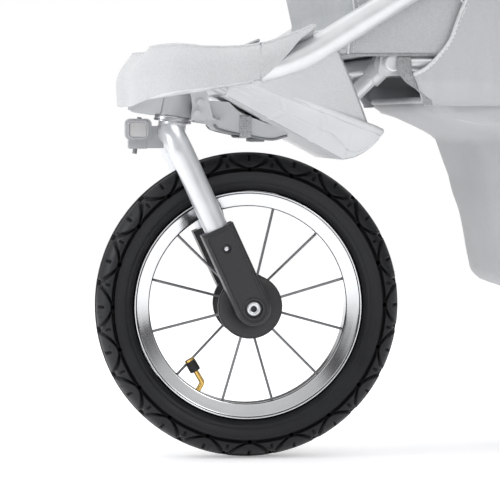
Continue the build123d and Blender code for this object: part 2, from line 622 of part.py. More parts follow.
def canopy_disc(y_disc):
    disc = cross_pin(CANOPY_HUB[0], CANOPY_HUB[1], -y_disc - 2.8, -y_disc + 2.8, 15, 5 + FIT)
    return pair(disc)


CANOPY_BAYS = (
    ("rear", 244.0, 186.0, 44.0, 72.0, 204.2),
    ("middle", 253.0, 194.0, 66.0, 108.0, 210.4),
    ("front", CANOPY_R, 202.0, 103.0, 152.0, 216.6),
)


def canopy():
    for name, radius, width, start, end, y_disc in CANOPY_BAYS:
        bay = canopy_bay(radius, width, 1.6, start, end - 1.4)
        add(f"canopy_bay_{name}", bay)
        rib = canopy_rib(radius - 9, width - 7, end, y_disc)
        discs = canopy_disc(y_disc)
        rib -= cross_pin(CANOPY_HUB[0], CANOPY_HUB[1], -230, 230, 5 + FIT)
        add(f"canopy_rib_{name}", rib)
        add(f"canopy_rib_{name}", *discs)


# -------------------------------------------------- rear legs and brake
def rear_legs():
    angle = math.degrees(math.atan2(REAR_R - HUB[1], REAR_X - HUB[0]))
    hub = cross_pin(HUB[0], HUB[1], -232, -214, 29)
    hx, hz = at_angle(HUB, 62, angle)
    hub += rod((HUB[0], -LEG_Y, HUB[1]), (hx, -LEG_Y, hz), 14.4)
    hub -= block(HUB[0] - 29, HUB[0] + 29, -213.99, -200, HUB[1] - 40, HUB[1] + 40)
    hub -= block(HUB[0] - 60, HUB[0] + 35, -245, -232, HUB[1] - 35, HUB[1] + 60)
    sx, sz = at_angle(HUB, 34, angle)
    ex, ez = at_angle(HUB, LEG_LEN - 20, angle)
    hub -= rod((sx, -LEG_Y, sz), (ex, -LEG_Y, ez), TUBE_R + 0.03)
    hub -= cross_pin(HUB[0], HUB[1], -250, -200, 6 + FIT)
    add_pair("leg_castings", hub)
    add_pair("rear_legs", rod((sx, -LEG_Y, sz), (ex, -LEG_Y, ez), TUBE_R, TUBE_R - TUBE_WALL))
    lug = cross_pin(REAR_X, REAR_R, -238, -208, 20)
    lx, lz = at_angle((REAR_X, REAR_R), 62, angle + 180)
    lug += rod((REAR_X, -LEG_Y, REAR_R), (lx, -LEG_Y, lz), 14.6)
    px, pz = at_angle((REAR_X, REAR_R), 38.0, 30.0)
    lug += cross_pin(px, pz, -246, -216, 9)
    lug += plate([(REAR_X - 8, REAR_R + 16), (REAR_X + 8, REAR_R - 16), (px + 3, pz - 8), (px - 3, pz + 8)],
                 -236, -218)
    lug -= rod((ex, -LEG_Y, ez), (sx, -LEG_Y, sz), TUBE_R + 0.03)
    lug -= cross_pin(REAR_X, REAR_R, -300, -190, 7.02)
    lug -= cross_pin(px, pz, -260, -200, 3.5 + FIT)
    add_pair("leg_castings", lug)
    add("rear_axle", cross_pin(REAR_X, REAR_R, -207.6, 207.6, 11, 9.4))
    for side in (-1, 1):
        y0, y1 = sorted((side * 206, side * (REAR_Y + 15.5)))
        add("rear_axle", cross_pin(REAR_X, REAR_R, y0, y1, 7))
    collar = cross_pin(REAR_X, REAR_R, -52, -40, 15.5, 11.05)
    add("leg_castings", *pair(collar))


def brake():
    sleeve = cross_pin(REAR_X, REAR_R, -39, 39, 15, 11 + FIT)
    arm = smooth_plate([(REAR_X + 8, REAR_R + 12), (REAR_X + 14, REAR_R - 2), (REAR_X + 66, REAR_R - 16),
                        (REAR_X + 72, REAR_R - 7)], -36, 36, 3)
    arm -= cross_pin(REAR_X, REAR_R, -60, 60, 11 + FIT)
    add("brake_pedal", sleeve + arm)
    px, pz = at_angle((REAR_X, REAR_R), 38.0, 30.0)
    pin = cross_pin(px, pz, -249.5, -212, 3.5)
    add("brake_pin_left", pin)
    add("brake_pin_right", mirror(pin, about=Plane.XZ))


# --------------------------------------------------------------- handle
def handle():
    hub = cross_pin(HUB[0], HUB[1], -253.4, -232.6, 29)
    hx, hz = at_angle(HUB, 62, HANDLE_ANGLE)
    hub += rod((HUB[0], -HANDLE_Y - 2, HUB[1]), (hx, -HANDLE_Y - 2, hz), 14.4)
    hub -= block(HUB[0] - 40, HUB[0] + 29, -232.6, -200, HUB[1] - 40, HUB[1] + 29)
    sx, sz = at_angle(HUB, 34, HANDLE_ANGLE)
    top = at_angle(HUB, HANDLE_LEN, HANDLE_ANGLE)
    ex, ez = at_angle(HUB, HANDLE_LEN - 17, HANDLE_ANGLE)
    hub -= rod((sx, -HANDLE_Y - 2, sz), (ex, -HANDLE_Y - 2, ez), TUBE_R + 0.03)
    hub -= cross_pin(HUB[0], HUB[1], -256, -220, 6 + FIT)
    hub -= cross_pin(HUB[0], HUB[1], -270, -253.4, 40)
    add_pair("handle_castings", hub)
    arm = rod((sx, -HANDLE_Y - 2, sz), (ex, -HANDLE_Y - 2, ez), TUBE_R, TUBE_R - TUBE_WALL)
    add_pair("handle_tubes", arm)
    knuckle = cross_pin(top[0], top[1], -255, -231, 20)
    kx, kz = at_angle(top, 48, HANDLE_ANGLE + 180)
    knuckle += rod((top[0], -HANDLE_Y - 2, top[1]), (kx, -HANDLE_Y - 2, kz), 14.4)
    knuckle -= rod((ex, -HANDLE_Y - 2, ez), (sx, -HANDLE_Y - 2, sz), TUBE_R + 0.03)
    knuckle -= cross_pin(top[0], top[1], -270, -255, 60)
    knuckle -= cross_pin(top[0], top[1], -265, -222, 5 + FIT)
    add_pair("handle_castings", knuckle)
    pin = cross_pin(top[0], top[1], -269.5, -228, 5) + cross_pin(top[0], top[1], -230.6, -226, 11)
    add_pair("handle_castings", pin)


def handlebar():
    top = at_angle(HUB, HANDLE_LEN, HANDLE_ANGLE)
    grip = at_angle(top, BAR_LEN, HANDLE_ANGLE)
    hub = cross_pin(top[0], top[1], -268, -255.4, 20)
    jx, jz = at_angle(top, 46, HANDLE_ANGLE)
    hub += rod((top[0], -BAR_Y - 6, top[1]), (jx, -BAR_Y - 6, jz), 13)
    hub -= block(top[0] - 20, top[0] + 20, -255.4, -240, top[1] - 20, top[1] + 20)
    sx, sz = at_angle(top, 21.5, HANDLE_ANGLE)
    hub -= rod((sx, -BAR_Y - 6, sz), (grip[0], -BAR_Y - 6, grip[1]), 10.5 + 0.03)
    hub -= cross_pin(top[0], top[1], -269.6, -240, 5 + FIT)
    add_pair("handlebar_castings", hub)
    bar = tube([(sx, -BAR_Y - 6, sz), (grip[0], -BAR_Y - 6, grip[1]), (grip[0], BAR_Y + 6, grip[1]),
                (sx, BAR_Y + 6, sz)], 10.5, 58.0, 1.6)
    add("handlebar_tube", bar)
    add("handlebar_grip", rod((grip[0], -196, grip[1]), (grip[0], 196, grip[1]), 16, 10.55))
    clip = rod((grip[0], -203.6, grip[1]), (grip[0], -196.5, grip[1]), 14, 10.55)
    add("handlebar_castings", *pair(clip))
    for side in (-1, 1):
        y0, y1 = sorted((side * 266.4, side * 274.0))
        add("handlebar_castings", cross_pin(top[0], top[1], y0, y1, 9, 5.1) + cross_pin(
            top[0], top[1], *sorted((side * 270.2, side * 274.0)), 9))


def main():
    front_wheel()
    rear_wheel(-1, "left")
    rear_wheel(1, "right")
    fork()
    lock_pin()
    front_frame()
    lower_frame()
    nose()
    footrest()
    toe_guard()
    side_panels()
    seat()
    back_mounts()
    backrest()
    basket()
    canopy()
    rear_legs()
    brake()
    handle()
    handlebar()
    export_all()


main()
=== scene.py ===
import bpy
import bmesh
import math
import numpy as np
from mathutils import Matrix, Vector, noise

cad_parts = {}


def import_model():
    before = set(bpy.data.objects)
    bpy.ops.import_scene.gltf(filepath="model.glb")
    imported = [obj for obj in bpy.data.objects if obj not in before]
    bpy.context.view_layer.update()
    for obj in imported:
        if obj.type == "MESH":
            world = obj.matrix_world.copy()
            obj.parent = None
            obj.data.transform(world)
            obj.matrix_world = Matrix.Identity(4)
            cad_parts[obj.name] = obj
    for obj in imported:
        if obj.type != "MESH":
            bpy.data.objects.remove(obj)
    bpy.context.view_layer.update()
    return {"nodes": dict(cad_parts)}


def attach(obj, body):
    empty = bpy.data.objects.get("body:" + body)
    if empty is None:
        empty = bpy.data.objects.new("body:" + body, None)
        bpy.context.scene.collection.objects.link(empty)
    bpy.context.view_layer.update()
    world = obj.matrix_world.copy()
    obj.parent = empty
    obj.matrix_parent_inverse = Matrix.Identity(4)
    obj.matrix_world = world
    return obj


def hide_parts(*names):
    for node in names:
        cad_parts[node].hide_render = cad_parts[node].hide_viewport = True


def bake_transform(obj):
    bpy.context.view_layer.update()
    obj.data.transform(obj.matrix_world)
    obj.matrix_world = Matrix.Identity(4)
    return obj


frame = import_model()

SHIFT = 368.75          # design x of the row origin, mm
FRONT_R, REAR_R = 152.5, 200.0
REAR_X, REAR_Y = 690.0, 290.0
SIDES = ((-1, "near"), (1, "far"))
HANDS = ((-1, "left"), (1, "right"))
HUB = (430.0, 645.0)
HOOD = (520.0, 760.0)
STEER = (-74.5, 336.0)
TILT = math.radians(8.0)


def world(p):
    """Design millimetres (x from the front axle) to metres in the row frame."""
    return ((p[0] - SHIFT) / 1000.0, p[1] / 1000.0, p[2] / 1000.0)


# ------------------------------------------------------------ materials
def start_material(name):
    mat = bpy.data.materials.new(name)
    mat.use_nodes = True
    nt = mat.node_tree
    bsdf = next(n for n in nt.nodes if n.type == "BSDF_PRINCIPLED")
    return mat, nt, bsdf


def put(node, **values):
    """Set a node's own sockets; underscores stand for spaces."""
    for key, value in values.items():
        node.inputs[key.replace("_", " ")].default_value = value


def add(nt, kind, props=None, **values):
    n = nt.nodes.new("ShaderNode" + kind)
    for key, value in (props or {}).items():
        setattr(n, key, value)
    put(n, **values)
    return n


def coords(nt, scale=(1, 1, 1)):
    tex = add(nt, "TexCoord")
    mapping = add(nt, "Mapping", Scale=scale)
    nt.links.new(tex.outputs["Object"], mapping.inputs["Vector"])
    return mapping.outputs["Vector"]


def noise_tex(nt, vector, scale, detail=3.0, rough=0.5):
    n = add(nt, "TexNoise", Scale=scale, Detail=detail, Roughness=rough)
    nt.links.new(vector, n.inputs["Vector"])
    return n.outputs["Fac"]


def ramp(nt, fac, stops):
    n = add(nt, "ValToRGB")
    cr = n.color_ramp
    while len(cr.elements) < len(stops):
        cr.elements.new(0.5)
    for element, (pos, col) in zip(cr.elements, stops):
        element.position = pos
        element.color = (*col, 1.0) if len(col) == 3 else col
    nt.links.new(fac, n.inputs["Fac"])
    return n.outputs["Color"]


def grey(v):
    return (v, v, v)


def math_node(nt, op, a, b=None):
    n = add(nt, "Math", {"operation": op})
    for i, v in enumerate((a, b)):
        if v is None:
            continue
        if isinstance(v, (int, float)):
            n.inputs[i].default_value = v
        else:
            nt.links.new(v, n.inputs[i])
    return n.outputs[0]


def bump(nt, bsdf, height, strength, distance):
    n = add(nt, "Bump", Strength=strength, Distance=distance)
    nt.links.new(height, n.inputs["Height"])
    nt.links.new(n.outputs["Normal"], bsdf.inputs["Normal"])


def multiply_colour(nt, bsdf, a, b):
    """Base Color is the product of two colours."""
    mix = add(nt, "Mix", {"data_type": "RGBA", "blend_type": "MULTIPLY"})
    mix.inputs[0].default_value = 1.0
    nt.links.new(a, mix.inputs[6])
    nt.links.new(b, mix.inputs[7])
    nt.links.new(mix.outputs[2], bsdf.inputs["Base Color"])


def tint(c, k):
    return tuple(min(1.0, v * k) for v in c)


def metal(name, color, rough=0.3, metallic=1.0, scale=60.0, wear=0.06):
    mat, nt, b = start_material(name)
    put(b, Metallic=metallic)
    v = coords(nt)
    big = noise_tex(nt, v, scale, 4.0)
    nt.links.new(ramp(nt, big, [(0.25, tint(color, 1 - wear)), (0.75, tint(color, 1 + wear / 2))]),
                 b.inputs["Base Color"])
    nt.links.new(ramp(nt, big, [(0.2, grey(rough * 0.8)), (0.8, grey(rough * 1.25))]),
                 b.inputs["Roughness"])
    bump(nt, b, noise_tex(nt, v, 2600.0, 2.0), 0.06, 0.0002)
    return mat


def plastic(name, color, rough=0.5, grain=1800.0, strength=0.25, coat=0.0):
    mat, nt, b = start_material(name)
    put(b, Coat_Weight=coat, Coat_Roughness=0.12)
    v = coords(nt)
    big = noise_tex(nt, v, 22.0, 5.0)
    nt.links.new(ramp(nt, big, [(0.3, tint(color, 0.94)), (0.7, tint(color, 1.04))]),
                 b.inputs["Base Color"])
    patches = noise_tex(nt, v, 140.0, 4.0)
    nt.links.new(ramp(nt, patches, [(0.3, grey(rough * 0.85)), (0.7, grey(rough * 1.15))]),
                 b.inputs["Roughness"])
    cells = add(nt, "TexVoronoi", Scale=grain)
    nt.links.new(v, cells.inputs["Vector"])
    bump(nt, b, cells.outputs["Distance"], strength, 0.0003)
    return mat


def weave(nt, v, pitch):
    """Plain weave height made from three sines of the position; reads on any facing surface."""
    k = 2 * math.pi / pitch
    sep = add(nt, "SeparateXYZ")
    nt.links.new(v, sep.inputs[0])
    s = [math_node(nt, "SINE", math_node(nt, "MULTIPLY", sep.outputs[i], k)) for i in range(3)]
    xz = math_node(nt, "MULTIPLY", s[0], s[2])
    xy = math_node(nt, "MULTIPLY", s[0], s[1])
    yz = math_node(nt, "MULTIPLY", s[1], s[2])
    return math_node(nt, "ADD", math_node(nt, "ADD", xz, xy), yz)


def fabric(name, dark, light, pitch=0.0024, strength=0.5, fleck=900.0, contrast=0.5, sheen=0.25, rough=0.9):
    """Melange cloth: two yarn tones mixed in short flecks over a woven relief."""
    mat, nt, b = start_material(name)
    put(b, Roughness=rough, Sheen_Weight=sheen, Sheen_Roughness=0.5)
    v = coords(nt)
    stretched = coords(nt, (1.0, 1.0, 0.35))
    fleck_noise = noise_tex(nt, stretched, fleck, 2.0, 0.7)
    soft = noise_tex(nt, v, 9.0, 3.0)
    lo, hi = 0.5 - 0.25 * (1.1 - contrast), 0.5 + 0.25 * (1.1 - contrast)
    col = ramp(nt, fleck_noise, [(lo, dark), (hi, light)])
    shade = ramp(nt, soft, [(0.3, grey(0.93)), (0.7, grey(1.0))])
    multiply_colour(nt, b, col, shade)
    h = math_node(nt, "ADD", math_node(nt, "MULTIPLY", weave(nt, v, pitch), 0.35),
                  math_node(nt, "MULTIPLY", fleck_noise, 1.2))
    bump(nt, b, h, strength, 0.0006)
    return mat


def webbing_material(name, color, pitch=0.0016):
    mat, nt, b = start_material(name)
    put(b, Roughness=0.62, Sheen_Weight=0.2)
    v = coords(nt)
    w = weave(nt, v, pitch)
    n = noise_tex(nt, v, 500.0, 2.0)
    nt.links.new(ramp(nt, n, [(0.3, tint(color, 0.8)), (0.7, tint(color, 1.2))]), b.inputs["Base Color"])
    bump(nt, b, w, 0.6, 0.0006)
    return mat


def rubber(name, color, rough=0.55, grain=900.0, strength=0.2):
    mat, nt, b = start_material(name)
    v = coords(nt)
    n = noise_tex(nt, v, 45.0, 5.0)
    tone = ramp(nt, n, [(0.3, tint(color, 0.8)), (0.7, tint(color, 1.25))])
    # Painted shade: ambient occlusion darkens the base colour in grooves and hollows, and lowers the specular
    # level there.
    painted_occlusion = add(nt, "AmbientOcclusion", {"samples": 6}, Distance=0.006)
    painted_groove_shade = math_node(nt, "POWER", painted_occlusion.outputs["AO"], 2.2)
    multiply_colour(nt, b, tone, painted_groove_shade)
    nt.links.new(math_node(nt, "MULTIPLY", painted_groove_shade, 0.3), b.inputs["Specular IOR Level"])
    nt.links.new(ramp(nt, n, [(0.3, grey(rough * 0.85)), (0.7, grey(rough * 1.15))]), b.inputs["Roughness"])
    bump(nt, b, noise_tex(nt, v, grain, 3.0), strength, 0.0004)
    return mat


SILVER = metal("tube_silver", (0.69, 0.70, 0.715), 0.34, 0.55)
FORK_SILVER = metal("fork_silver", (0.66, 0.67, 0.69), 0.32, 0.6)
STEEL = metal("zinc_steel", (0.66, 0.67, 0.69), 0.3, 1.0, 120.0)
DARK_STEEL = metal("spoke_steel", (0.20, 0.205, 0.215), 0.35, 1.0, 200.0)
BOLT = metal("black_oxide_bolt", (0.055, 0.056, 0.06), 0.3, 0.9, 300.0)
CHROME = metal("chrome", (0.66, 0.67, 0.685), 0.11, 1.0, 30.0, 0.05)
BRASS = metal("brass", (0.72, 0.47, 0.14), 0.25, 1.0, 200.0)
TYRE = rubber("tyre_rubber", (0.0085, 0.0092, 0.0108), 0.46)
BLACK = plastic("black_plastic", (0.016, 0.0165, 0.018), 0.42)
BLACK_RUBBER = rubber("cap_rubber", (0.02, 0.02, 0.022), 0.6)
GREY = plastic("grey_plastic", (0.50, 0.51, 0.525), 0.45)
DARK_GREY = plastic("dark_grey_plastic", (0.20, 0.205, 0.215), 0.45)
BLOCK = plastic("block_plastic", (0.36, 0.365, 0.38), 0.38)
PANEL = plastic("block_panel", (0.46, 0.455, 0.46), 0.16, 2400.0, 0.03, 0.6)
PAN = plastic("pan_plastic", (0.58, 0.59, 0.605), 0.42, 1500.0, 0.15)
TOE = fabric("toe_cloth", (0.45, 0.457, 0.47), (0.57, 0.577, 0.59), 0.0022, 0.3, 1500.0, 0.25)
SEAT = fabric("seat_cloth", (0.40, 0.41, 0.425), (0.52, 0.53, 0.545), 0.0022, 0.3, 1500.0, 0.25)
HOOD_CLOTH = fabric("hood_cloth", (0.38, 0.39, 0.405), (0.57, 0.58, 0.595), 0.0022, 0.3, 1500.0, 0.25)
BASKET = fabric("basket_cloth", (0.42, 0.425, 0.44), (0.49, 0.495, 0.51), 0.0014, 0.2, 1600.0, 0.15, 0.1,
                0.65)
PIPING = fabric("piping_cloth", (0.56, 0.57, 0.58), (0.74, 0.75, 0.76), 0.0014, 0.25, 900.0, 0.3)
LINING = fabric("lining_cloth", (0.30, 0.305, 0.315), (0.44, 0.445, 0.46), 0.0022, 0.3, 1500.0, 0.3)
DARK_CLOTH = fabric("dark_cloth", (0.22, 0.225, 0.235), (0.36, 0.365, 0.375), 0.0020, 0.3, 700.0, 0.3)
EDGE = fabric("binding_cloth", (0.50, 0.51, 0.53), (0.72, 0.73, 0.74), 0.0016, 0.4, 900.0, 0.3)
WEBBING = webbing_material("webbing", (0.16, 0.165, 0.175))
PALE_WEB = webbing_material("pale_webbing", (0.62, 0.63, 0.65))
BELLY_WEB = webbing_material("belly_webbing", (0.40, 0.405, 0.42))
THREAD = fabric("sewing_thread", (0.62, 0.63, 0.65), (0.82, 0.83, 0.84), 0.0008, 0.2)
FOAM = rubber("foam_grip", (0.028, 0.029, 0.032), 0.8, 420.0, 0.7)
RED = plastic("red_button", (0.55, 0.03, 0.02), 0.3, 1800.0, 0.08, 0.4)

# body of the cloth parts on the frame, paired with a slot name
ON_TOE = ("frame", "toe_fabric")
ON_SEAT = ("frame", "seat_fabric")
ON_BASKET = ("frame", "basket_fabric")


def dress(node, mat):
    """Give a carried-over CAD node its material."""
    obj = frame["nodes"][node]
    if isinstance(obj, str):
        obj = bpy.data.objects[obj]
    obj.data.materials.clear()
    obj.data.materials.append(mat)


def dress_all(mat, names):
    for node in names.split():
        dress(node, mat)


# -------------------------------------------------------------- meshes
def make(name, verts, faces, mat, body, smooth=True):
    mesh = bpy.data.meshes.new(name)
    mesh.from_pydata([world(v) for v in verts], [], faces)
    mesh.validate()
    obj = bpy.data.objects.new(name, mesh)
    bpy.context.scene.collection.objects.link(obj)
    mesh.materials.append(mat)
    mesh.polygons.foreach_set("use_smooth", [smooth] * len(mesh.polygons))
    mesh.update()
    if body:
        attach(obj, body)
    return obj


def recalc(obj, merge=0.0):
    """Turn every face outward, after joining points closer than merge."""
    bm = bmesh.new()
    bm.from_mesh(obj.data)
    if merge:
        bmesh.ops.remove_doubles(bm, verts=bm.verts, dist=merge)
    bmesh.ops.recalc_face_normals(bm, faces=bm.faces)
    bm.to_mesh(obj.data)
    bm.free()
    obj.data.update()


def freeze(obj):
    """Apply every modifier."""
    bpy.context.view_layer.update()
    deps = bpy.context.evaluated_depsgraph_get()
    mesh = bpy.data.meshes.new_from_object(obj.evaluated_get(deps), depsgraph=deps)
    old = obj.data
    obj.modifiers.clear()
    obj.data = mesh
    bpy.data.meshes.remove(old)
    return obj


def ring_faces(n, m, closed=False, caps=True):
    """Faces joining n rings of m points; the open ends are capped."""
    faces = []
    for i in range(n if closed else n - 1):
        k = (i + 1) % n
        faces += [(i * m + j, i * m + (j + 1) % m, k * m + (j + 1) % m, k * m + j) for j in range(m)]
    if caps and not closed:
        faces.append(tuple(range(m))[::-1])
        faces.append(tuple((n - 1) * m + j for j in range(m)))
    return faces


def shifted(faces, base):
    return [tuple(base + v for v in face) for face in faces]


def along_path(path):
    """Distance of every point from the start of a polyline."""
    return np.r_[0, np.cumsum(np.linalg.norm(np.diff(path, axis=0), axis=1))]


def at_distances(path, d, s):
    """Points of the polyline, whose distances are d, at distances s."""
    return np.stack([np.interp(s, d, path[:, k]) for k in range(path.shape[1])], 1)


def grid(name, rows, mat, body, slot=None, close_u=False, close_v=False, thick=0.0, offset=0.0, levels=0):
    """A surface through rows of points; thick gives it a real wall."""
    rows = np.asarray(rows, float)
    nu, nv = rows.shape[:2]
    faces = []
    for i in range(nu if close_u else nu - 1):
        a, b = i, (i + 1) % nu
        for j in range(nv if close_v else nv - 1):
            c, d = j, (j + 1) % nv
            faces.append((a * nv + c, a * nv + d, b * nv + d, b * nv + c))
    obj = make(name, [tuple(p) for p in rows.reshape(-1, 3)], faces, mat, body)
    if levels:
        mod = obj.modifiers.new("Subsurf", "SUBSURF")
        mod.levels = mod.render_levels = levels
    if thick:
        mod = obj.modifiers.new("Solid", "SOLIDIFY")
        mod.thickness = thick / 1000.0
        mod.offset = offset
    if levels or thick:
        freeze(obj)
    if thick or (close_u and close_v):
        recalc(obj)
    return obj


def smooth_path(points, count, closed=False):
    """Catmull-Rom curve through the points, resampled evenly by length."""
    p = np.asarray(points, float)
    n = len(p)
    if closed:
        ext = np.vstack([p[-1], p, p[0], p[1]])
        spans = n
    else:
        ext = np.vstack([2 * p[0] - p[1], p, 2 * p[-1] - p[-2]])
        spans = n - 1
    out = []
    for i in range(spans):
        p0, p1, p2, p3 = ext[i:i + 4]
        for t in np.linspace(0, 1, 24, endpoint=False):
            out.append(0.5 * (2 * p1 + (p2 - p0) * t + (2 * p0 - 5 * p1 + 4 * p2 - p3) * t * t
                              + (3 * p1 - p0 - 3 * p2 + p3) * t ** 3))
    if not closed:
        out.append(p[-1])
    out = np.array(out)
    if closed:
        out = np.vstack([out, out[0]])
    d = along_path(out)
    res = at_distances(out, d, np.linspace(0, d[-1], count + 1 if closed else count))
    return res[:-1] if closed else res


def rounded_path(points, radii, steps=12):
    """Straight runs joined by true arcs, like a bent tube's centre line."""
    pts = [np.array(q, float) for q in points]
    out = [pts[0]]
    for a, b, c, r in zip(pts, pts[1:], pts[2:], radii):
        u = (a - b) / np.linalg.norm(a - b)
        v = (c - b) / np.linalg.norm(c - b)
        half = math.acos(float(np.clip(u.dot(v), -1, 1))) / 2
        mid = (u + v) / np.linalg.norm(u + v)
        center = b + mid * r / math.sin(half)
        start, end = b + u * r / math.tan(half), b + v * r / math.tan(half)
        e0, e1 = (start - center) / r, (end - center) / r
        sweep = math.acos(float(np.clip(e0.dot(e1), -1, 1)))
        for k in range(steps + 1):
            t = k / steps
            turn = math.sin((1 - t) * sweep) * e0 + math.sin(t * sweep) * e1
            out.append(center + r * turn / math.sin(sweep))
    out.append(pts[-1])
    return np.array(out)


def even(path, step):
    """Resample a polyline to an even spacing in millimetres."""
    path = np.asarray(path, float)
    d = along_path(path)
    return at_distances(path, d, np.linspace(0, d[-1], max(2, int(d[-1] / step) + 1)))


def frames(path, closed=False):
    """Tangent, side and binormal along a path, carried without twist."""
    path = np.asarray(path, float)
    if closed:
        tan = np.roll(path, -1, 0) - np.roll(path, 1, 0)
    else:
        tan = np.gradient(path, axis=0)
    tan /= np.linalg.norm(tan, axis=1)[:, None]
    side = np.zeros_like(tan)
    prev = np.array((0, 0, 1), float)
    for i, t in enumerate(tan):
        v = prev - t * prev.dot(t)
        if np.linalg.norm(v) < 1e-6:
            v = np.cross(t, (0.3, 1.0, 0.2))
        prev = v / np.linalg.norm(v)
        side[i] = prev
    return tan, side, np.cross(tan, side)


def pipe(name, points, radius, mat, body, slot=None, closed=False, count=None, sides=10, resample=True):
    """Round cord or piping along a smooth path."""
    if resample:
        path = smooth_path(points, count or max(8, len(points) * 8), closed)
    else:
        path = np.asarray(points, float)
    _, s, b = frames(path, closed)
    ang = np.linspace(0, 2 * math.pi, sides, endpoint=False)
    verts = [tuple(q) for p, u, v in zip(path, s, b)
             for q in p + radius * (np.outer(np.cos(ang), u) + np.outer(np.sin(ang), v))]
    obj = make(name, verts, ring_faces(len(path), sides, closed), mat, body)
    recalc(obj)
    return obj


def ribbon(name, points, across, width, thick, mat, body, slot=None, count=40):
    """Flat strap: rounded rectangular section swept along a smooth path, wide in the direction across."""
    path = smooth_path(points, count)
    dirs = np.tile(np.asarray(across, float), (len(path), 1))
    tan, _, _ = frames(path)
    w = dirs - tan * (dirs * tan).sum(1)[:, None]
    w /= np.linalg.norm(w, axis=1)[:, None]
    n = np.cross(tan, w)
    ang = np.linspace(0, 2 * math.pi, 24, endpoint=False)
    c, sn = np.cos(ang), np.sin(ang)
    cx = np.sign(c) * np.abs(c) ** 0.25 * width / 2
    cy = np.sign(sn) * np.abs(sn) ** 0.6 * thick / 2
    verts = [tuple(q) for p, u, v in zip(path, w, n) for q in p + np.outer(cx, u) + np.outer(cy, v)]
    obj = make(name, verts, ring_faces(len(path), len(ang)), mat, body)
    recalc(obj)
    return obj


def stitches(name, path, outward, body, pitch=4.2, length=2.8, radius=0.42):
    """A row of thread stitches lying on a seam line."""
    path = np.asarray(path, float)
    d = along_path(path)
    count = max(2, int(d[-1] / pitch))
    s = (np.arange(count) + 0.5) * d[-1] / count
    center = at_distances(path, d, s)
    tan = at_distances(path, d, s + 0.5) - at_distances(path, d, s - 0.5)
    tan /= np.maximum(np.linalg.norm(tan, axis=1), 1e-9)[:, None]
    out = np.asarray(outward, float)
    out = np.tile(out, (count, 1)) if out.ndim == 1 else out[np.linspace(0, len(out) - 1, count).astype(int)]
    sides, stations = 5, ((-0.5, 0.25), (-0.3, 1.0), (0.3, 1.0), (0.5, 0.25))
    one = ring_faces(len(stations), sides)
    verts, faces = [], []
    for c, t, o in zip(center, tan, out):
        o = o / np.linalg.norm(o)
        w = np.cross(t, o)
        faces += shifted(one, len(verts))
        for u, r in stations:
            for a in range(sides):
                ang = 2 * math.pi * a / sides
                verts.append(tuple(c + t * u * length + radius * r * (math.cos(ang) * o + math.sin(ang) * w)))
    return make(name, verts, faces, THREAD, body)


def lathe(name, profile, center, mat, body, slot=None, segments=128, relief=None):
    """Turn an (r, y) outline about the y direction through center; relief(theta, r, y) moves its points."""
    prof = np.asarray(profile, float)
    theta = np.linspace(0, 2 * math.pi, segments, endpoint=False)
    rr = np.tile(prof[:, 0], (segments, 1))
    yy = np.tile(prof[:, 1], (segments, 1))
    if relief is not None:
        dr, dy = relief(theta[:, None], rr, yy)
        rr, yy = rr + dr, yy + dy
    rows = np.stack([center[0] + rr * np.cos(theta)[:, None], center[1] + yy,
                     center[2] + rr * np.sin(theta)[:, None]], 2)
    return grid(name, rows, mat, body, slot, close_u=True, close_v=True)


def rounded_box(name, low, high, radius, mat, body):
    bm = bmesh.new()
    bmesh.ops.create_cube(bm, size=1.0)
    low, high = np.array(low, float), np.array(high, float)
    for v in bm.verts:
        v.co = Vector(world((np.array(v.co) + 0.5) * (high - low) + low))
    bmesh.ops.bevel(bm, geom=bm.edges[:], offset=radius / 1000, segments=3, profile=0.5, affect="EDGES")
    obj = make(name, [], [], mat, body)
    bm.to_mesh(obj.data)
    bm.free()
    obj.data.polygons.foreach_set("use_smooth", [True] * len(obj.data.polygons))
    return obj


def wrinkle(p, scale, amount, seed=0.0):
    """Smooth cloth ripple at a point in millimetres."""
    q = Vector((p[0] / scale + seed, p[1] / scale, p[2] / scale))
    return amount * (noise.noise(q) + 0.5 * noise.noise(q * 2.1 + Vector((7, 3, 1))))


def squircle(n, power):
    """Unit points round a square with soft corners; a smaller power makes them sharper."""
    points = []
    for k in range(n):
        c, s = math.cos(2 * math.pi * k / n), math.sin(2 * math.pi * k / n)
        points.append((np.sign(c) * abs(c) ** power, np.sign(s) * abs(s) ** power))
    return points


def smoothstep(a, b, x):
    t = np.clip((np.asarray(x, float) - a) / (b - a), 0, 1)
    return t * t * (3 - 2 * t)


# --------------------------------------------------------------- wheels
def tyre_outline(radius, rim_r, w, steps):
    """Outer profile from one bead over the crown to the other, then back inside."""
    depth = radius - rim_r
    shares = [(0.08, 0.66), (0.2, 0.85), (0.36, 0.975), (0.5, 1.0), (0.64, 0.965), (0.77, 0.86), (0.88, 0.68),
              (0.96, 0.42)]
    half = [(rim_r + 0.2, 0.52 * w)] + [(rim_r + k * depth, y * w) for k, y in shares] + [(radius, 0.0)]
    full = half + [(r, -y) for r, y in reversed(half[:-1])]
    return smooth_path([(r, y, 0) for r, y in full], steps)[:, :2]


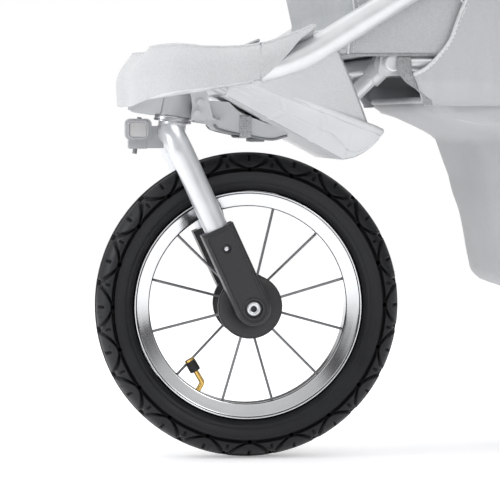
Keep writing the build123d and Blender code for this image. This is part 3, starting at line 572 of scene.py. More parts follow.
def make_tyre(name, node, body, center, radius, rim_r, w, repeats, segments, steps):
    outer = tyre_outline(radius, rim_r, w, steps)
    inner = [(rim_r + 0.2, -0.40 * w), (rim_r + 6, -0.55 * w), (rim_r + 14, -0.6 * w), (rim_r + 14, 0.6 * w),
             (rim_r + 6, 0.55 * w), (rim_r + 0.2, 0.40 * w)]
    profile = np.vstack([outer, inner])
    n_out = len(outer)
    depth = radius - rim_r
    r_ring = rim_r + 0.5 * depth
    r_shoulder = rim_r + 0.60 * depth

    def groove(distance, half_width):
        return 1 - smoothstep(half_width * 0.55, half_width, np.abs(distance))

    def relief(theta, r, y):
        t = np.clip((r - r_shoulder) / (radius - r_shoulder), -0.6, 1.0)
        outside = np.zeros_like(r)
        outside[:, :n_out] = 1.0
        phase = theta * repeats / (2 * math.pi) + np.where(y > 0, 0.5, 0.0)
        phi = phase - np.round(phase)
        arc = 2 * math.pi * radius / repeats
        arm = np.sqrt(np.clip(t, 0, 1)) * 0.5
        d_arm = (np.abs(phi) - arm) * arc
        g = groove(d_arm, 3.0) * (t > 0.0)
        stem = groove(phi * arc, 2.0) * smoothstep(-0.3, -0.2, t) * (1 - smoothstep(0.0, 0.06, t))
        half = phase + 0.5 - np.round(phase + 0.5)
        notch = groove(phi * arc, 1.9) * smoothstep(0.46, 0.52, t) * (1 - smoothstep(0.80, 0.86, t))
        side_cut = groove(half * arc, 1.7) * smoothstep(0.12, 0.18, t) * (1 - smoothstep(0.42, 0.50, t))
        crown = groove(np.abs(y) - 0.24 * w, 1.8)
        crown = crown * (np.abs(y) < 0.5 * w) * (t > 0.6)
        cut = np.clip(g + stem + 0.8 * notch + 0.6 * side_cut, 0, 1)
        cut = np.maximum(cut, 0.9 * crown) * smoothstep(-0.32, -0.2, t)
        step = smoothstep(-0.10, 0.02, t) * 1.1
        ring = np.exp(-((r - r_ring) / 0.8) ** 2) * 0.8
        dark = np.exp(-((r - r_ring - 2.6) / 0.9) ** 2) * -0.8
        lines = np.exp(-((r - rim_r - 5.0) / 0.8) ** 2) * 0.5 - np.exp(-((r - rim_r - 8.0) / 0.8) ** 2) * 0.5
        band = smoothstep(-0.34, -0.30, t) * (1 - smoothstep(-0.04, 0.0, t))
        amount = outside * (-3.6 * cut + 1.5 * step - 1.65 - 1.2 * band)
        amount = amount * smoothstep(-0.25, -0.1, t) + 0 * r
        nr = np.clip(t, 0, 1) * 0.9 + 0.1
        ny = np.sign(y) * (1 - np.clip(t, 0, 1))
        face = outside * (ring + dark + lines) * np.sign(y)
        return amount * nr, amount * ny * 0.9 + face

    obj = lathe(name, profile, center, TYRE, body, "tyre", segments, relief=relief)
    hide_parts(node)
    return obj


def tyre_hairs(name, body, center, radius, w, count, seed):
    """Fine moulding hairs standing out of the tyre's shoulders."""
    rng = np.random.default_rng(seed)
    verts, faces = [], []
    for i in range(count):
        a = rng.uniform(0, 2 * math.pi)
        side = -1 if i % 2 else 1
        t = rng.uniform(0.1, 0.9)
        r0 = radius - 1.2 - 9.0 * t
        y0 = side * w * (0.42 + 0.48 * t ** 0.7)
        out = np.array([math.cos(a) * 0.7, side * 0.7, math.sin(a) * 0.7])
        base = np.array([center[0] + r0 * math.cos(a), center[1] + y0, center[2] + r0 * math.sin(a)])
        tip = base + out * rng.uniform(1.5, 3.2)
        u = np.cross(out, (0.2, 0.9, 0.4))
        u /= np.linalg.norm(u)
        v = np.cross(out, u)
        faces += shifted(ring_faces(2, 4), len(verts))
        for p, rr in ((base - out, 0.32), (tip, 0.12)):
            for k in range(4):
                verts.append(tuple(p + rr * (math.cos(k * math.pi / 2) * u + math.sin(k * math.pi / 2) * v)))
    return make(name, verts, faces, TYRE, body)


def rim_profile(rim_r, depth, w):
    """Box rim: turned lips at the bead, a flat polished cone on each face, a rounded inner edge."""
    inner = rim_r - depth
    half = [(rim_r + 0.1, w), (rim_r - 0.6, w + 0.5), (rim_r - 1.6, w + 0.2), (rim_r - 2.2, w - 0.8),
            (rim_r - 2.8, w - 1.2), (rim_r - 7.0, w - 2.2), (inner + 3.0, w - 3.6), (inner + 1.2, w - 4.1),
            (inner + 0.3, w - 4.9), (inner, w - 6.2)]
    back = [(inner + 4.5, -w * 0.4), (rim_r - 1.0, -w + 2.4), (rim_r - 1.0, w - 2.4), (inner + 4.5, w * 0.4)]
    full = half + [(r, -y) for r, y in reversed(half)]
    dense = even([(r, y, 0) for r, y in full], 0.55)[:, :2]
    ends = [back[1], back[0], back[3], back[2]]
    return np.vstack([dense, np.array(ends)])


def nipples(name, body, center, count, first, r_out, y_out, mat, size=1.0):
    """Spoke nipples standing out of the rim."""
    prof = [(-0.5, 0.0), (-0.5, 2.6), (1.5, 2.6), (2.2, 2.0), (8.0, 1.9), (9.0, 1.4), (9.0, 0.0)]
    sides = 10
    one = ring_faces(len(prof), sides, caps=False)
    verts, faces = [], []
    for i in range(count):
        a = math.radians(first + i * 360.0 / count)
        side = -1 if i % 2 == 0 else 1
        out = np.array([math.cos(a), 0, math.sin(a)])
        base = np.array([center[0], center[1] + side * y_out, center[2]]) + out * r_out
        direction = -out + np.array([0, side * 0.16, 0])
        direction /= np.linalg.norm(direction)
        u = np.cross(direction, (0, 1, 0))
        u /= np.linalg.norm(u)
        v = np.cross(direction, u)
        faces += shifted(one, len(verts))
        for along, rad in prof:
            for k in range(sides):
                ang = 2 * math.pi * k / sides
                verts.append(tuple(base + direction * along * size
                                   + rad * size * (math.cos(ang) * u + math.sin(ang) * v)))
    recalc(make(name, verts, faces, mat, body), 1e-7)


def build_front_wheel():
    c = (0.0, 0.0, FRONT_R)
    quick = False
    make_tyre("front_tyre_tread", "front_tyre", "front_wheel", c, 152.4, 114.0, 24.0, 20,
              540 if quick else 1080, 84 if quick else 130)
    tyre_hairs("front_tyre_hairs", "front_wheel", c, 152.4, 24.0, 90, 4)
    rim = lathe("front_rim_band", rim_profile(113.9, 15.4, 14.0), c, CHROME, "front_wheel", "chrome", 240)
    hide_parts("front_rim")
    nipples("front_nipples", "front_wheel", c, 12, 15.0, 99.2, 4.8, DARK_STEEL, 0.62)
    cap = [(12.5, 28.7), (13.5, 29.4), (26, 29.3), (29.5, 28.6), (31.4, 27.2), (32, 25.4), (31.6, 24),
           (13, 23.6)]
    for side, name in SIDES:
        ring = [(r, side * y) for r, y in cap]
        lathe(f"front_hub_ring_{name}", ring, c, BLACK, "front_wheel", "black_plastic", 96)
    dress("front_hub", BLACK)
    dress("front_spokes", DARK_STEEL)
    dress("front_valve", BRASS)
    # ribbed dust cap over the valve's end
    neck = at_angle((0, FRONT_R), 90.0, 240.0)
    tip = at_angle(neck, 13.6, 120.0)
    u = np.array([math.cos(math.radians(120)), 0, math.sin(math.radians(120))])
    w = np.array([u[2], 0, -u[0]])
    rows = []
    for along, rad in ((0, 3.2), (0.0, 5.1), (0.6, 5.35), (11.0, 5.2), (12.6, 4.6), (13.6, 3.0), (13.8, 0.1)):
        ring = []
        for k in range(48):
            a = 2 * math.pi * k / 48
            rr = rad * (1 + (0.035 * math.cos(16 * a) if 0.1 < along < 12 else 0))
            ring.append(np.array([tip[0], 0, tip[1]]) + u * along + rr * (math.cos(a) * w
                        + math.sin(a) * np.array([0, 1, 0])))
        rows.append(ring)
    cap_obj = grid("front_valve_dust_cap", rows, BLACK_RUBBER, "front_wheel", "black_plastic", close_v=True)
    recalc(cap_obj)


def at_angle(center, radius, degrees):
    a = math.radians(degrees)
    return center[0] + radius * math.cos(a), center[1] + radius * math.sin(a)


def build_rear_wheels():
    for side, name in HANDS:
        body = f"rear_wheel_{name}"
        c = (REAR_X, side * REAR_Y, REAR_R)
        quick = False
        make_tyre(f"rear_tyre_tread_{name}", f"rear_tyre_{name}", body, c, 199.9, 153.0, 25.0, 26,
                  480 if quick else 936, 64 if quick else 96)
        nipples(f"rear_nipples_{name}", body, c, 16, 11.25, 139.6, 4.8, STEEL)
        dress(f"rear_rim_{name}", CHROME)
        dress(f"rear_hub_{name}", BLACK)
        dress(f"wheel_release_{name}", RED)
        y = side * 321.0
        cap = [(9.6, -0.5), (10.2, 1.2), (12, 1.5), (18, 1.0), (21.2, -0.4), (22.4, -2.6), (21, -2.9),
               (9.6, -2.6)]
        lathe(f"rear_hub_ring_{name}", [(r, y + side * out - c[1]) for r, out in cap], c, GREY, body,
              "grey_plastic", 72)


# ---------------------------------------------------- fork and swivel
def turned(name, center, y, side, outline, mat, slot, segments):
    """A turned detail of the fork; the outline gives radius and depth inward from y."""
    lathe(name, [(r, y - side * depth) for r, depth in outline], center, mat, "fork", slot, segments)


def build_fork():
    for node, mat in (("fork_tube", FORK_SILVER), ("fork_sleeves", BLACK), ("fork_fasteners", BOLT),
                      ("swivel_post", STEEL), ("lock_block", BLOCK), ("swivel_lock_pin", DARK_GREY)):
        dress(node, mat)
    lean = 180.0 - 65.5
    slope = math.radians(lean)
    d = np.array([math.cos(slope), 0, math.sin(slope)])
    n = np.array([-d[2], 0, d[0]])
    axle = (0, 0, FRONT_R)
    screw = at_angle((0, FRONT_R), 65.0, lean)
    for side, name in SIDES:
        y = side * 61.3
        base = np.array([0, y, FRONT_R])
        outline = []
        for k in range(25):
            a = math.pi * k / 24
            outline.append(base - d * 13.6 * math.sin(a) + n * 13.6 * math.cos(a))
        outline += [base + d * (82.0 * k / 30) - n * 13.6 for k in range(1, 30)]
        outline += [base + d * 82.6 - n * 11.0, base + d * 83.0, base + d * 82.6 + n * 11.0]
        outline += [base + d * (82.0 * (30 - k) / 30) + n * 13.6 for k in range(1, 30)]
        pipe(f"sleeve_ridge_{name}", outline, 0.9, BLACK, "fork", "black_plastic", closed=True,
             count=160, sides=8)
        turned(f"axle_bolt_washer_{name}", axle, y, side, [(8.7, 0.6), (9.3, -0.6), (10.8, -0.6), (11.3, 0.4),
               (11.3, 1.2), (8.7, 1.2)], BLACK, "black_plastic", 64)
        turned(f"sleeve_screw_{name}", (screw[0], 0, screw[1]), y, side, [(0.05, 0.9), (1.6, 1.1), (2.5, 1.6),
               (2.7, 3.0), (0.05, 3.0)], STEEL, "steel", 40)
        turned(f"axle_bolt_face_{name}", axle, y, side, [(3.0, 2.7), (3.1, 2.1), (6.4, 2.2), (7.2, 2.9),
               (7.2, 3.0), (3.0, 3.0)], STEEL, "steel", 48)
    # raised border and glossy panel on both sides of the lock block
    cx, cz, hx, hz, r = -109.3, 327.4, 9.7, 8.4, 4.2
    for side, name in SIDES:
        pts = []
        for qx, qz, a0 in ((1, 1, 0), (-1, 1, 90), (-1, -1, 180), (1, -1, 270)):
            for k in range(7):
                a = math.radians(a0 + 15 * k)
                pts.append((cx + qx * (hx - r) + r * math.cos(a), side * 11.2,
                            cz + qz * (hz - r) + r * math.sin(a)))
        pipe(f"lock_block_border_{name}", pts, 1.15, BLOCK, "fork", "block_plastic", closed=True, count=96,
             sides=8)
        lo, hi = sorted((side * 10.0, side * 11.5))
        rounded_box(f"lock_block_panel_{name}", (cx - 8.4, lo, cz - 7.4), (cx + 8.4, hi, cz + 7.4), 0.6,
                    PANEL, "fork")
    # crown race: stacked rings between fork and housing
    for along, name in ((-0.4, "lower"), (3.4, "upper")):
        ring = []
        for k in range(48):
            a = 2 * math.pi * k / 48
            ring.append(steer_point(along, 18.1 * math.cos(a), 18.1 * math.sin(a)))
        pipe(f"crown_race_{name}", ring, 0.9, STEEL, "fork", "steel", closed=True, count=72, sides=8)


def steer_point(along, forward=0.0, side=0.0):
    x = STEER[0] + along * math.sin(TILT) - forward * math.cos(TILT)
    z = STEER[1] + along * math.cos(TILT) + forward * math.sin(TILT)
    return (x, side, z)


# ------------------------------------------------------------ frame
def build_frame():
    dress_all(SILVER, "front_bow side_tubes seat_rails seat_crossbars footrest_struts rear_legs handle_tubes "
                      "handlebar_tube")
    dress_all(GREY, "frame_joints frame_bolts swivel_housing belly_shell nose_brackets seat_board "
                    "leg_castings handle_castings handlebar_castings")
    dress_all(STEEL, "rear_axle brake_pin_left brake_pin_right canopy_rib_front canopy_rib_middle "
                     "canopy_rib_rear backrest_frame")
    dress_all(DARK_GREY, "brake_pedal")
    dress_all(BLACK, "harness_buckle")
    dress_all(RED, "buckle_button")
    # dark cord along the lower edge of the belly shell, a painted shadow line for the shade gap under it, and
    # the strap over it
    for side, name in SIDES:
        y = side * 38.1
        strip = [(-37, y, 332.4), (-32, y, 327.6), (-11, y, 322.4), (1, y, 320.4), (20, y, 317.8),
                 (35, y, 321.4)]
        pipe(f"belly_edge_{name}", strip, 1.3, DARK_GREY, "frame", "black_plastic", count=40, sides=8)
    strap = [(-6, -38.6, 341), (-6, -38.9, 326), (-6, -36, 320.2), (-6, 0, 319.6), (-6, 36, 320.2),
             (-6, 38.9, 326), (-6, 38.6, 341)]
    ribbon("belly_strap", strap, (1, 0, 0), 11.5, 1.4, BELLY_WEB, "frame", "webbing", count=60)
    rounded_box("belly_strap_clip", (0.5, -14, 315.2), (16, 14, 318.8), 1.0, DARK_GREY, "frame")


# -------------------------------------------------------------- footrest
def pan_top(x):
    return min(379.5, 369.0 - 0.386 * (x - 1.6))


def pan_keel(x):
    return float(np.interp(x, [-30, 20, 81.9, 91.6, 98.6, 104.4, 110.5, 113.5],
                           [361.6, 334.2, 300.4, 302.5, 307.4, 312.7, 319.6, 324.5]))


def build_footrest():
    """Moulded tray: slanted sides with grooves and two cross ribs, rolled rim, rounded heel."""
    xs = np.linspace(-29.5, 112.5, 143)
    side_n, floor_n = 96, 41
    rows = []
    for x in xs:
        top, keel = pan_top(x), pan_keel(x)
        half_low = 97.0 + 1.2 * max(0.0, x - 85)
        half_top = 148.0 - 9.0 * smoothstep(100, 113, x) ** 2
        height = top - keel
        slope = np.array([half_top - half_low, height])
        length = np.linalg.norm(slope)
        out = np.array([height, -(half_top - half_low)]) / length
        side = []
        for j in range(side_n):
            t = j / (side_n - 1)
            y, z = half_top - slope[0] * t, top - height * t
            d = t * length
            push = -1.8 * math.exp(-((d - 6.5) / 0.9) ** 2)
            low_line = (0.55 + 0.36 * smoothstep(66, 98, x)) * length
            push -= 1.9 * math.exp(-((d - low_line) / 0.9) ** 2) * smoothstep(-28, -24, x)
            push += 0.4 * math.exp(-((d - low_line - 3.0) / 1.5) ** 2)
            short = smoothstep(-20, -17, x) * smoothstep(-2, -5, x)
            push -= 1.6 * math.exp(-((d - 0.30 * length) / 1.1) ** 2) * short
            arc = 9.0 * math.sin(math.pi * min(1, t * 1.05))
            for center in (11.0, 50.0):
                push += 0.9 * math.exp(-((x - center - arc) / 2.4) ** 4) * smoothstep(4, 9, d)
            push += 1.8 * math.exp(-((length - d) / 2.6) ** 2)
            corner = max(0.0, 1 - (length - d) / 6.0)
            y -= 1.6 * corner ** 2
            z += 1.2 * corner ** 2
            side.append((y + out[0] * push, z + out[1] * push))
        row = [(x, -y, z) for y, z in side]
        for j in range(1, floor_n - 1):
            t = j / (floor_n - 1)
            y = side[-1][0] * (2 * t - 1)
            lift = 1.2 * math.exp(-((((t * 8) % 1) - 0.5) / 0.14) ** 2) * smoothstep(-20, -12, x)
            row.append((x, y, side[-1][1] - lift * (1 - smoothstep(86, 96, x))))
        row += [(x, y, z) for y, z in reversed(side)]
        rows.append(row)
    rows = np.array(rows)
    obj = grid("footrest_pan_moulding", rows, PAN, "frame", "pan_plastic", thick=2.4, offset=0.0)
    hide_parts("footrest_pan")
    for k, name in ((0, "near"), (-1, "far")):
        pipe(f"pan_lip_{name}", rows[::2, k] + np.array([0, 0, 0.4]), 2.2, PAN, "frame", "pan_plastic",
             resample=False)
    for k, name in ((side_n - 2, "near"), (-side_n + 1, "far")):
        pipe(f"pan_low_edge_{name}", rows[::2, k] + np.array([0, 0, -0.5]), 0.9, DARK_GREY, "frame",
             "black_plastic", resample=False, sides=8)
    for k, name in ((-1, "rear"), (0, "front")):
        pipe(f"pan_{name}_lip", rows[k][::2], 1.9, PAN, "frame", "pan_plastic", resample=False)


# ------------------------------------------------------------ toe guard
def bow_center():
    """Centre line of the front tube from the near side round the nose to the far side."""
    near = [(64, -201, 416.5), (18.4, -201, 388.0), (-20, -200, 381.95), (-72, -186, 373.9),
            (-108, -118, 368.2)]
    far = [(x, -y, z) for x, y, z in reversed(near)]
    radii = [150, 90, 48, 48, 48, 48, 90, 150]
    return even(rounded_path(near + far, radii), 2.6)


HEM_X = [-108, -104, -95, -85, -72, -21, -12, -4, 6, 14.5, 24, 34, 39]
HEM_Z = [352, 355, 359, 362, 364.6, 372.5, 374.6, 381, 391.2, 400, 411.5, 419, 422]
RIM_X = [-108, -95, -83, -72, -60, -42, -26, -14, -3, 13.7, 24.7, 34, 39]
RIM_Z = [404.5, 405.5, 406.2, 405.1, 403.2, 402.8, 403.4, 405, 407.3, 413.3, 417.5, 421.6, 424]


def build_toe_guard():
    """Smooth cloth skirt outside the front tube, upright at its hem and leaning in towards its rim."""
    path = bow_center()
    path = path[path[:, 0] < 38.5]
    flat = path.copy()
    flat[:, 2] = 0
    tan, _, _ = frames(flat)
    out = np.cross(tan, (0, 0, 1))
    out /= np.linalg.norm(out, axis=1)[:, None]
    flip = np.sign(((path - np.array([-20.0, 0, 380])) * out * np.array([1, 1, 0])).sum(1))
    out *= flip[:, None]
    n = 34
    rows = []
    for q0, o in zip(path, out):
        nose = 1 - smoothstep(70, 150, abs(q0[1]))
        hem = float(np.interp(q0[0], HEM_X, HEM_Z)) * (1 - nose) + 350.5 * nose
        rim = float(np.interp(q0[0], RIM_X, RIM_Z))
        rear = smoothstep(-16, 34, q0[0])
        lean_from = (q0[2] + 5.0) * (1 - rear) + hem * rear
        lean = (9.0 + 17.0 * nose) * (1 - 0.75 * rear)
        row = []
        for j in range(n):
            t = j / (n - 1)
            z = hem + (rim - hem) * t
            back = lean * max(0.0, (z - lean_from) / max(1.0, rim - lean_from)) ** 1.8
            swell = 1.3 * math.sin(math.pi * t) * (1 - rear)
            q = q0 + o * (13.7 + swell - back)
            q[2] = z
            soft = math.sin(math.pi * min(1.0, t * 0.9 + 0.08))
            q = q + o * wrinkle((q0[0], q0[1], z * 1.3), 55, 0.45, 3.0) * soft
            row.append(q)
        rows.append(row)
    rows = np.array(rows)
    obj = cloth("toe_guard_cloth", rows, TOE, *ON_TOE, thick=2.2, levels=1)
    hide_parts("toe_guard")
    pipe("toe_guard_rim", rows[:, -1] + np.array([0, 0, 0.3]), 1.7, TOE, *ON_TOE, resample=False,
         sides=12)
    pipe("toe_guard_hem", rows[:, 0] + np.array([0, 0, 0.4]), 1.3, TOE, *ON_TOE, resample=False, sides=8)
    for k, name in ((0, "near"), (-1, "far")):
        pipe(f"toe_guard_end_{name}", rows[k], 1.4, TOE, *ON_TOE, count=40, sides=8)
    # inner lining: hangs from the rim down the inside of the tube
    inner = []
    for q0, o, row in zip(path, out, rows):
        top = row[-1]
        low = q0 - o * 13.6
        low[2] = min(q0[2] + 1.0, top[2] - 6)
        drop = np.array([0, 0, 1.2])
        inner.append([top * (1 - t) + low * t - o * 1.2 * math.sin(math.pi * t) - drop
                      for t in np.linspace(0, 1, 9)])
    cloth("toe_guard_lining", inner, LINING, *ON_TOE, thick=1.2)


def cloth(name, rows, mat, body, slot, thick, **more):
    """A stretched piece of cloth with a real thickness."""
    obj = grid(name, rows, mat, body, slot, thick=thick, **more)
    return obj


# --------------------------------------------------------- side cloths
def build_footwell():
    for side, name in SIDES:
        top = smooth_path([(-58, side * 172, 374), (-36, side * 184, 378), (-14, side * 187, 381.5),
                           (8, side * 188.4, 386), (30, side * 188.4, 394), (48, side * 188, 399),
                           (62.4, side * 187, 401)], 49)
        low = smooth_path([(-30, side * 145.5, 377.5), (-14, side * 145.2, 372.5), (8, side * 145, 364),
                           (36, side * 144.8, 353.3), (66, side * 144.6, 341.8), (84, side * 144.4, 334.8),
                           (98.7, side * 144, 329.2)], 49)
        rows = []
        for i in range(49):
            row = []
            for j in range(19):
                t = j / 18
                q = top[i] * (1 - t) + low[i] * t
                u = i / 48
                swell = math.sin(math.pi * t)
                q = q + np.array([1.5 * swell * u ** 3, -side * 3.0 * swell, 0])
                q[1] += side * wrinkle(q, 34, 1.2, 9.0) * swell
                row.append(q)
            rows.append(row)
        rows = np.array(rows)
        cloth(f"footwell_side_{name}", rows, TOE, *ON_TOE, thick=1.8, levels=1)
        pipe(f"footwell_hem_{name}", rows[-1], 1.1, DARK_CLOTH, *ON_TOE, count=40, sides=8)
    rows = []
    for i in range(33):
        y = -119.5 + 239 * i / 32
        row = []
        for j in range(17):
            t = j / 16
            z = 396.5 - 53 * t
            swell = math.sin(math.pi * t)
            x = 68 + 9 * t + 3.5 * swell + wrinkle((y, z, 5), 40, 1.5, 4.0) * swell
            row.append((x, y, z))
        rows.append(row)
    calf = cloth("calf_cloth", rows, SEAT, *ON_SEAT, thick=2.0, levels=1)
    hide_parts("footwell_fabric")
    for k, name in ((0, "top"), (-1, "bottom")):
        edge = [r[k] for r in rows]
        pipe(f"calf_hem_{name}", edge[::4], 1.8, EDGE, *ON_SEAT, count=60, sides=8)


def panel_top(x):
    return float(np.interp(x, [60, 66, 72, 82, 120, 200, 300, 400, 450, 505],
                           [471, 484, 496, 505, 531, 580, 646, 704, 722, 716]))


def build_seat_sides():
    """One cloth tub: near side, round the front corners and across, far side."""
    plan = rounded_path([(500, -186, 0), (62, -186, 0), (62, 186, 0), (500, 186, 0)], [16, 16])
    plan = even(plan, 5.0)
    nz = 45
    rows, outs = [], []
    tan, _, _ = frames(plan)
    for q0, tg in zip(plan, tan):
        o = np.array([-tg[1], tg[0], 0.0])
        if (q0 - np.array([250.0, 0, 0])).dot(o) < 0:
            o = -o
        outs.append(o)
        front = 1 - smoothstep(62, 100, q0[0])
        across = 1 - smoothstep(130, 184, abs(q0[1]))
        top = panel_top(q0[0]) * (1 - across) + 468.0 * across if q0[0] < 90 else panel_top(q0[0])
        row = []
        for j in range(nz):
            t = j / (nz - 1)
            z = 397.5 + (top - 397.5) * t
            q = q0.copy()
            q[2] = z
            q[0] += front * float(np.interp(z, [397, 415, 437, 466, 500], [1.5, 4.5, 5.6, -1.1, -1.5]))
            q[0] -= 10.0 * (1 - t) * smoothstep(470, 500, q0[0])
            edge = min(1.0, 5 * t + 0.15, 5 * (1 - t) + 0.15)
            ripple = abs(wrinkle((q0[0] + q0[1], z, 11), 60, 1.8, 2.0)) * edge
            q = q - o * (0.5 + 1.1 * edge * (1 - front) + ripple)
            row.append(q)
        rows.append(row)
    rows, outs = np.array(rows), np.array(outs)
    obj = cloth("seat_tub_cloth", rows, SEAT, *ON_SEAT, thick=1.8)
    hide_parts("seat_side_panels")
    pipe("seat_tub_top_hem", rows[:, -1], 2.3, PIPING, *ON_SEAT, resample=False, sides=10)
    pipe("seat_tub_low_hem", rows[:, 0] + outs * 0.2, 1.6, DARK_CLOTH, *ON_SEAT, resample=False, sides=8)
    stitches("seat_tub_top_stitches", rows[:, -3] + outs * 1.1, outs, "frame")
    for side, name in HANDS:
        seam = [(72.5 + 5.6 * math.exp(-((z - 437) / 22.0) ** 2), side * 186.2, z)
                for z in np.linspace(398, 494, 30)]
        pipe(f"seat_front_seam_{name}", seam, 0.9, PIPING, *ON_SEAT, count=60, sides=8)
        stitches(f"seat_front_stitches_{name}", np.array(seam) + np.array([4.5, side * 0.3, 0]),
                 (0, side, 0), "frame")


# ---------------------------------------------------------------- basket
def build_basket():
    """Soft open tub: rings of a rounded rectangle from the top hem down, then the sagging floor."""
    levels = 46
    ring_n = 160
    rows = []
    front_x = lambda z: float(np.interp(z, [168, 172, 182, 200, 240, 280, 300, 330, 356],
                                        [220, 206, 196, 190, 180, 171, 164.5, 155, 147.5]))
    rear_x = lambda z: float(np.interp(z, [168, 175, 185, 204, 240, 356], [540, 566, 584, 594, 598, 601]))
    for i in range(levels):
        t = i / (levels - 1)
        z = 355.5 - (355.5 - 169.5) * (t ** 0.92)
        xf, xr = front_x(z), rear_x(z)
        round_low = smoothstep(185, 169, z)
        half = 168 - 16 * round_low - 4 * math.sin(math.pi * t)
        cx, hx = (xf + xr) / 2, (xr - xf) / 2
        ring = []
        for k in range(ring_n):
            a = 2 * math.pi * k / ring_n
            c, s = math.cos(a), math.sin(a)
            p = 0.24
            x = cx + hx * np.sign(c) * abs(c) ** p
            y = half * np.sign(s) * abs(s) ** p
            taper = smoothstep(352, 316, z)
            x = max(x, xf + taper * (48.0 + 70.0 * max(0.0, (abs(y) - 77.0) / (half - 77.0))))
            q = np.array([x, y, z])
            direction = np.array([c, s, 0])
            amp = math.sin(math.pi * min(1, t * 1.05)) ** 0.7
            fold = wrinkle((x * 0.8, y * 0.8, z * 0.45), 46, 5.0, 1.0)
            fold += wrinkle((x, y, z * 0.3), 17, 1.6, 5.0)
            corner = abs(c * s) * 2
            q = q + direction * (fold * amp * 0.8 - 2.5 * amp * (1 - corner))
            q[2] -= 3.0 * math.sin(math.pi * t) * wrinkle((x, y, 0), 80, 0.8, 3.0)
            ring.append(q)
        rows.append(ring)
    base = rows[-1]
    center = np.mean(base, axis=0)
    for s in (0.86, 0.6, 0.3, 0.02):
        ring = []
        for q in base:
            p = center + (q - center) * s
            p[2] = 168.9 + 1.2 * (1 - s) + abs(wrinkle(p, 60, 1.4, 8.0)) * (1 - s)
            ring.append(p)
        rows.append(ring)
    rows = np.array(rows)
    rows[:, :, 2] = np.maximum(rows[:, :, 2], 168.6)
    obj = grid("basket_cloth", rows, BASKET, *ON_BASKET, close_v=True, thick=1.6, offset=-1.0)
    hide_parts("storage_basket")
    top = rows[0]
    pipe("basket_rim", top[::4], 3.2, EDGE, *ON_BASKET, closed=True, count=240, sides=10)
    nrm = np.array([[math.cos(2 * math.pi * k / ring_n), math.sin(2 * math.pi * k / ring_n), 0]
                    for k in range(ring_n)])
    stitches("basket_rim_stitches", rows[3] + nrm * 1.0, nrm, "frame", pitch=5.0)
    for side, name in SIDES:
        y = side * 130
        ribbon(f"basket_rear_strap_{name}",
               [(474, y, 388), (500, y, 381), (560, y, 365), (598, y, 354), (603, y, 340)],
               (0, 1, 0), 20, 1.8, PALE_WEB, "frame", "webbing", count=30)
    top_line = [(133, 379), (145, 385), (158, 398), (168, 412), (174.5, 430), (182, 448), (197, 476),
                (222, 500), (262, 524), (310, 541), (400, 466), (500, 398), (600, 354)]
    edge_top = smooth_path([(x, 0, z) for x, z in top_line], 131)
    low_x = [146.5, 150, 156, 164, 174, 186, 202, 226, 262, 310, 400, 500, 600]
    edge_low = smooth_path([(x, 0, 350) for x in low_x], 131)
    for sy, name in SIDES:
        curtain = []
        for i in range(131):
            row = []
            for j in range(41):
                t = j / 40
                q = edge_low[i] * (1 - t) + edge_top[i] * t
                s = min(1.0, 6 * t) * min(1.0, 0.35 + 6 * (1 - t))
                fold = 2.2 * math.sin(q[0] / 9.5 + 1.3 * math.sin(q[2] / 60.0))
                fold += 1.2 * math.sin(q[0] / 4.3 + q[2] / 70.0)
                y = 171.2 + 19.0 * smoothstep(350, 374, q[2]) - abs(fold) * 0.6 * s
                row.append((q[0], sy * y, q[2]))
            curtain.append(row)
        curtain = np.array(curtain)
        cloth(f"basket_side_{name}", curtain, BASKET, *ON_BASKET, thick=1.4)
        bound = curtain[:, -1] + np.array([0, sy * 0.5, 0])
        pipe(f"basket_side_binding_{name}", bound, 1.7, PIPING, *ON_BASKET, resample=False, sides=8)
        stitches(f"basket_side_stitches_{name}", curtain[:, -3] + np.array([0, sy * 1.0, 0]), (0, sy, 0),
                 "frame")
        left, right = [smooth_path([(x, sy * y, z) for x, y, z in line], 31) for line in (
            [(119, 184, 396), (118, 188, 385), (125, 188, 373), (137, 184, 365), (144, 176, 358),
             (146, 170.5, 350)],
            [(131.5, 184, 396), (132.6, 188.2, 381), (137, 188.4, 376.6), (144, 184, 373), (150, 178, 364),
             (155, 170.8, 350)])]
        tab = [[left[i] * (1 - t) + right[i] * t for t in np.linspace(0, 1, 9)] for i in range(31)]
        cloth(f"basket_front_tab_{name}", tab, DARK_CLOTH, *ON_BASKET, thick=1.4)
        loop = [(175, sy * 189.2, 430), (180, sy * 190.2, 436), (180, sy * 190.4, 444),
                (176, sy * 189.6, 450)]
        pipe(f"basket_loop_{name}", loop, 0.8, PIPING, *ON_BASKET, count=24, sides=6)
    # vertical seams with folded tape at the front corners
    for side, name in SIDES:
        corner = int(ring_n * (0.5 + side * 0.115)) % ring_n
        seam = [rows[i, corner] for i in range(0, levels, 3)]
        pipe(f"basket_seam_{name}", seam, 1.5, EDGE, *ON_BASKET, count=60, sides=8)


# ------------------------------------------------------------------ hood
def hood_section(radius, half, n):
    """One cross line of the hood: radius from the hood's pivot against y, from side to side."""
    quarter = [(0.45, 1.0), (0.66, 0.985), (0.84, 0.93), (0.955, 0.76), (0.992, 0.5)]
    side = [(radius * a, half * b) for a, b in quarter]
    points = [(80, -half)] + [(r, -y) for r, y in side] + [(radius, 0)] + side[::-1] + [(80, half)]
    return smooth_path([(a, b, 0) for a, b in points], n)[:, :2]


def hood_point(rho, y, slope):
    a = math.radians(slope)
    return (HOOD[0] + rho * math.cos(a), y, HOOD[1] + rho * math.sin(a))


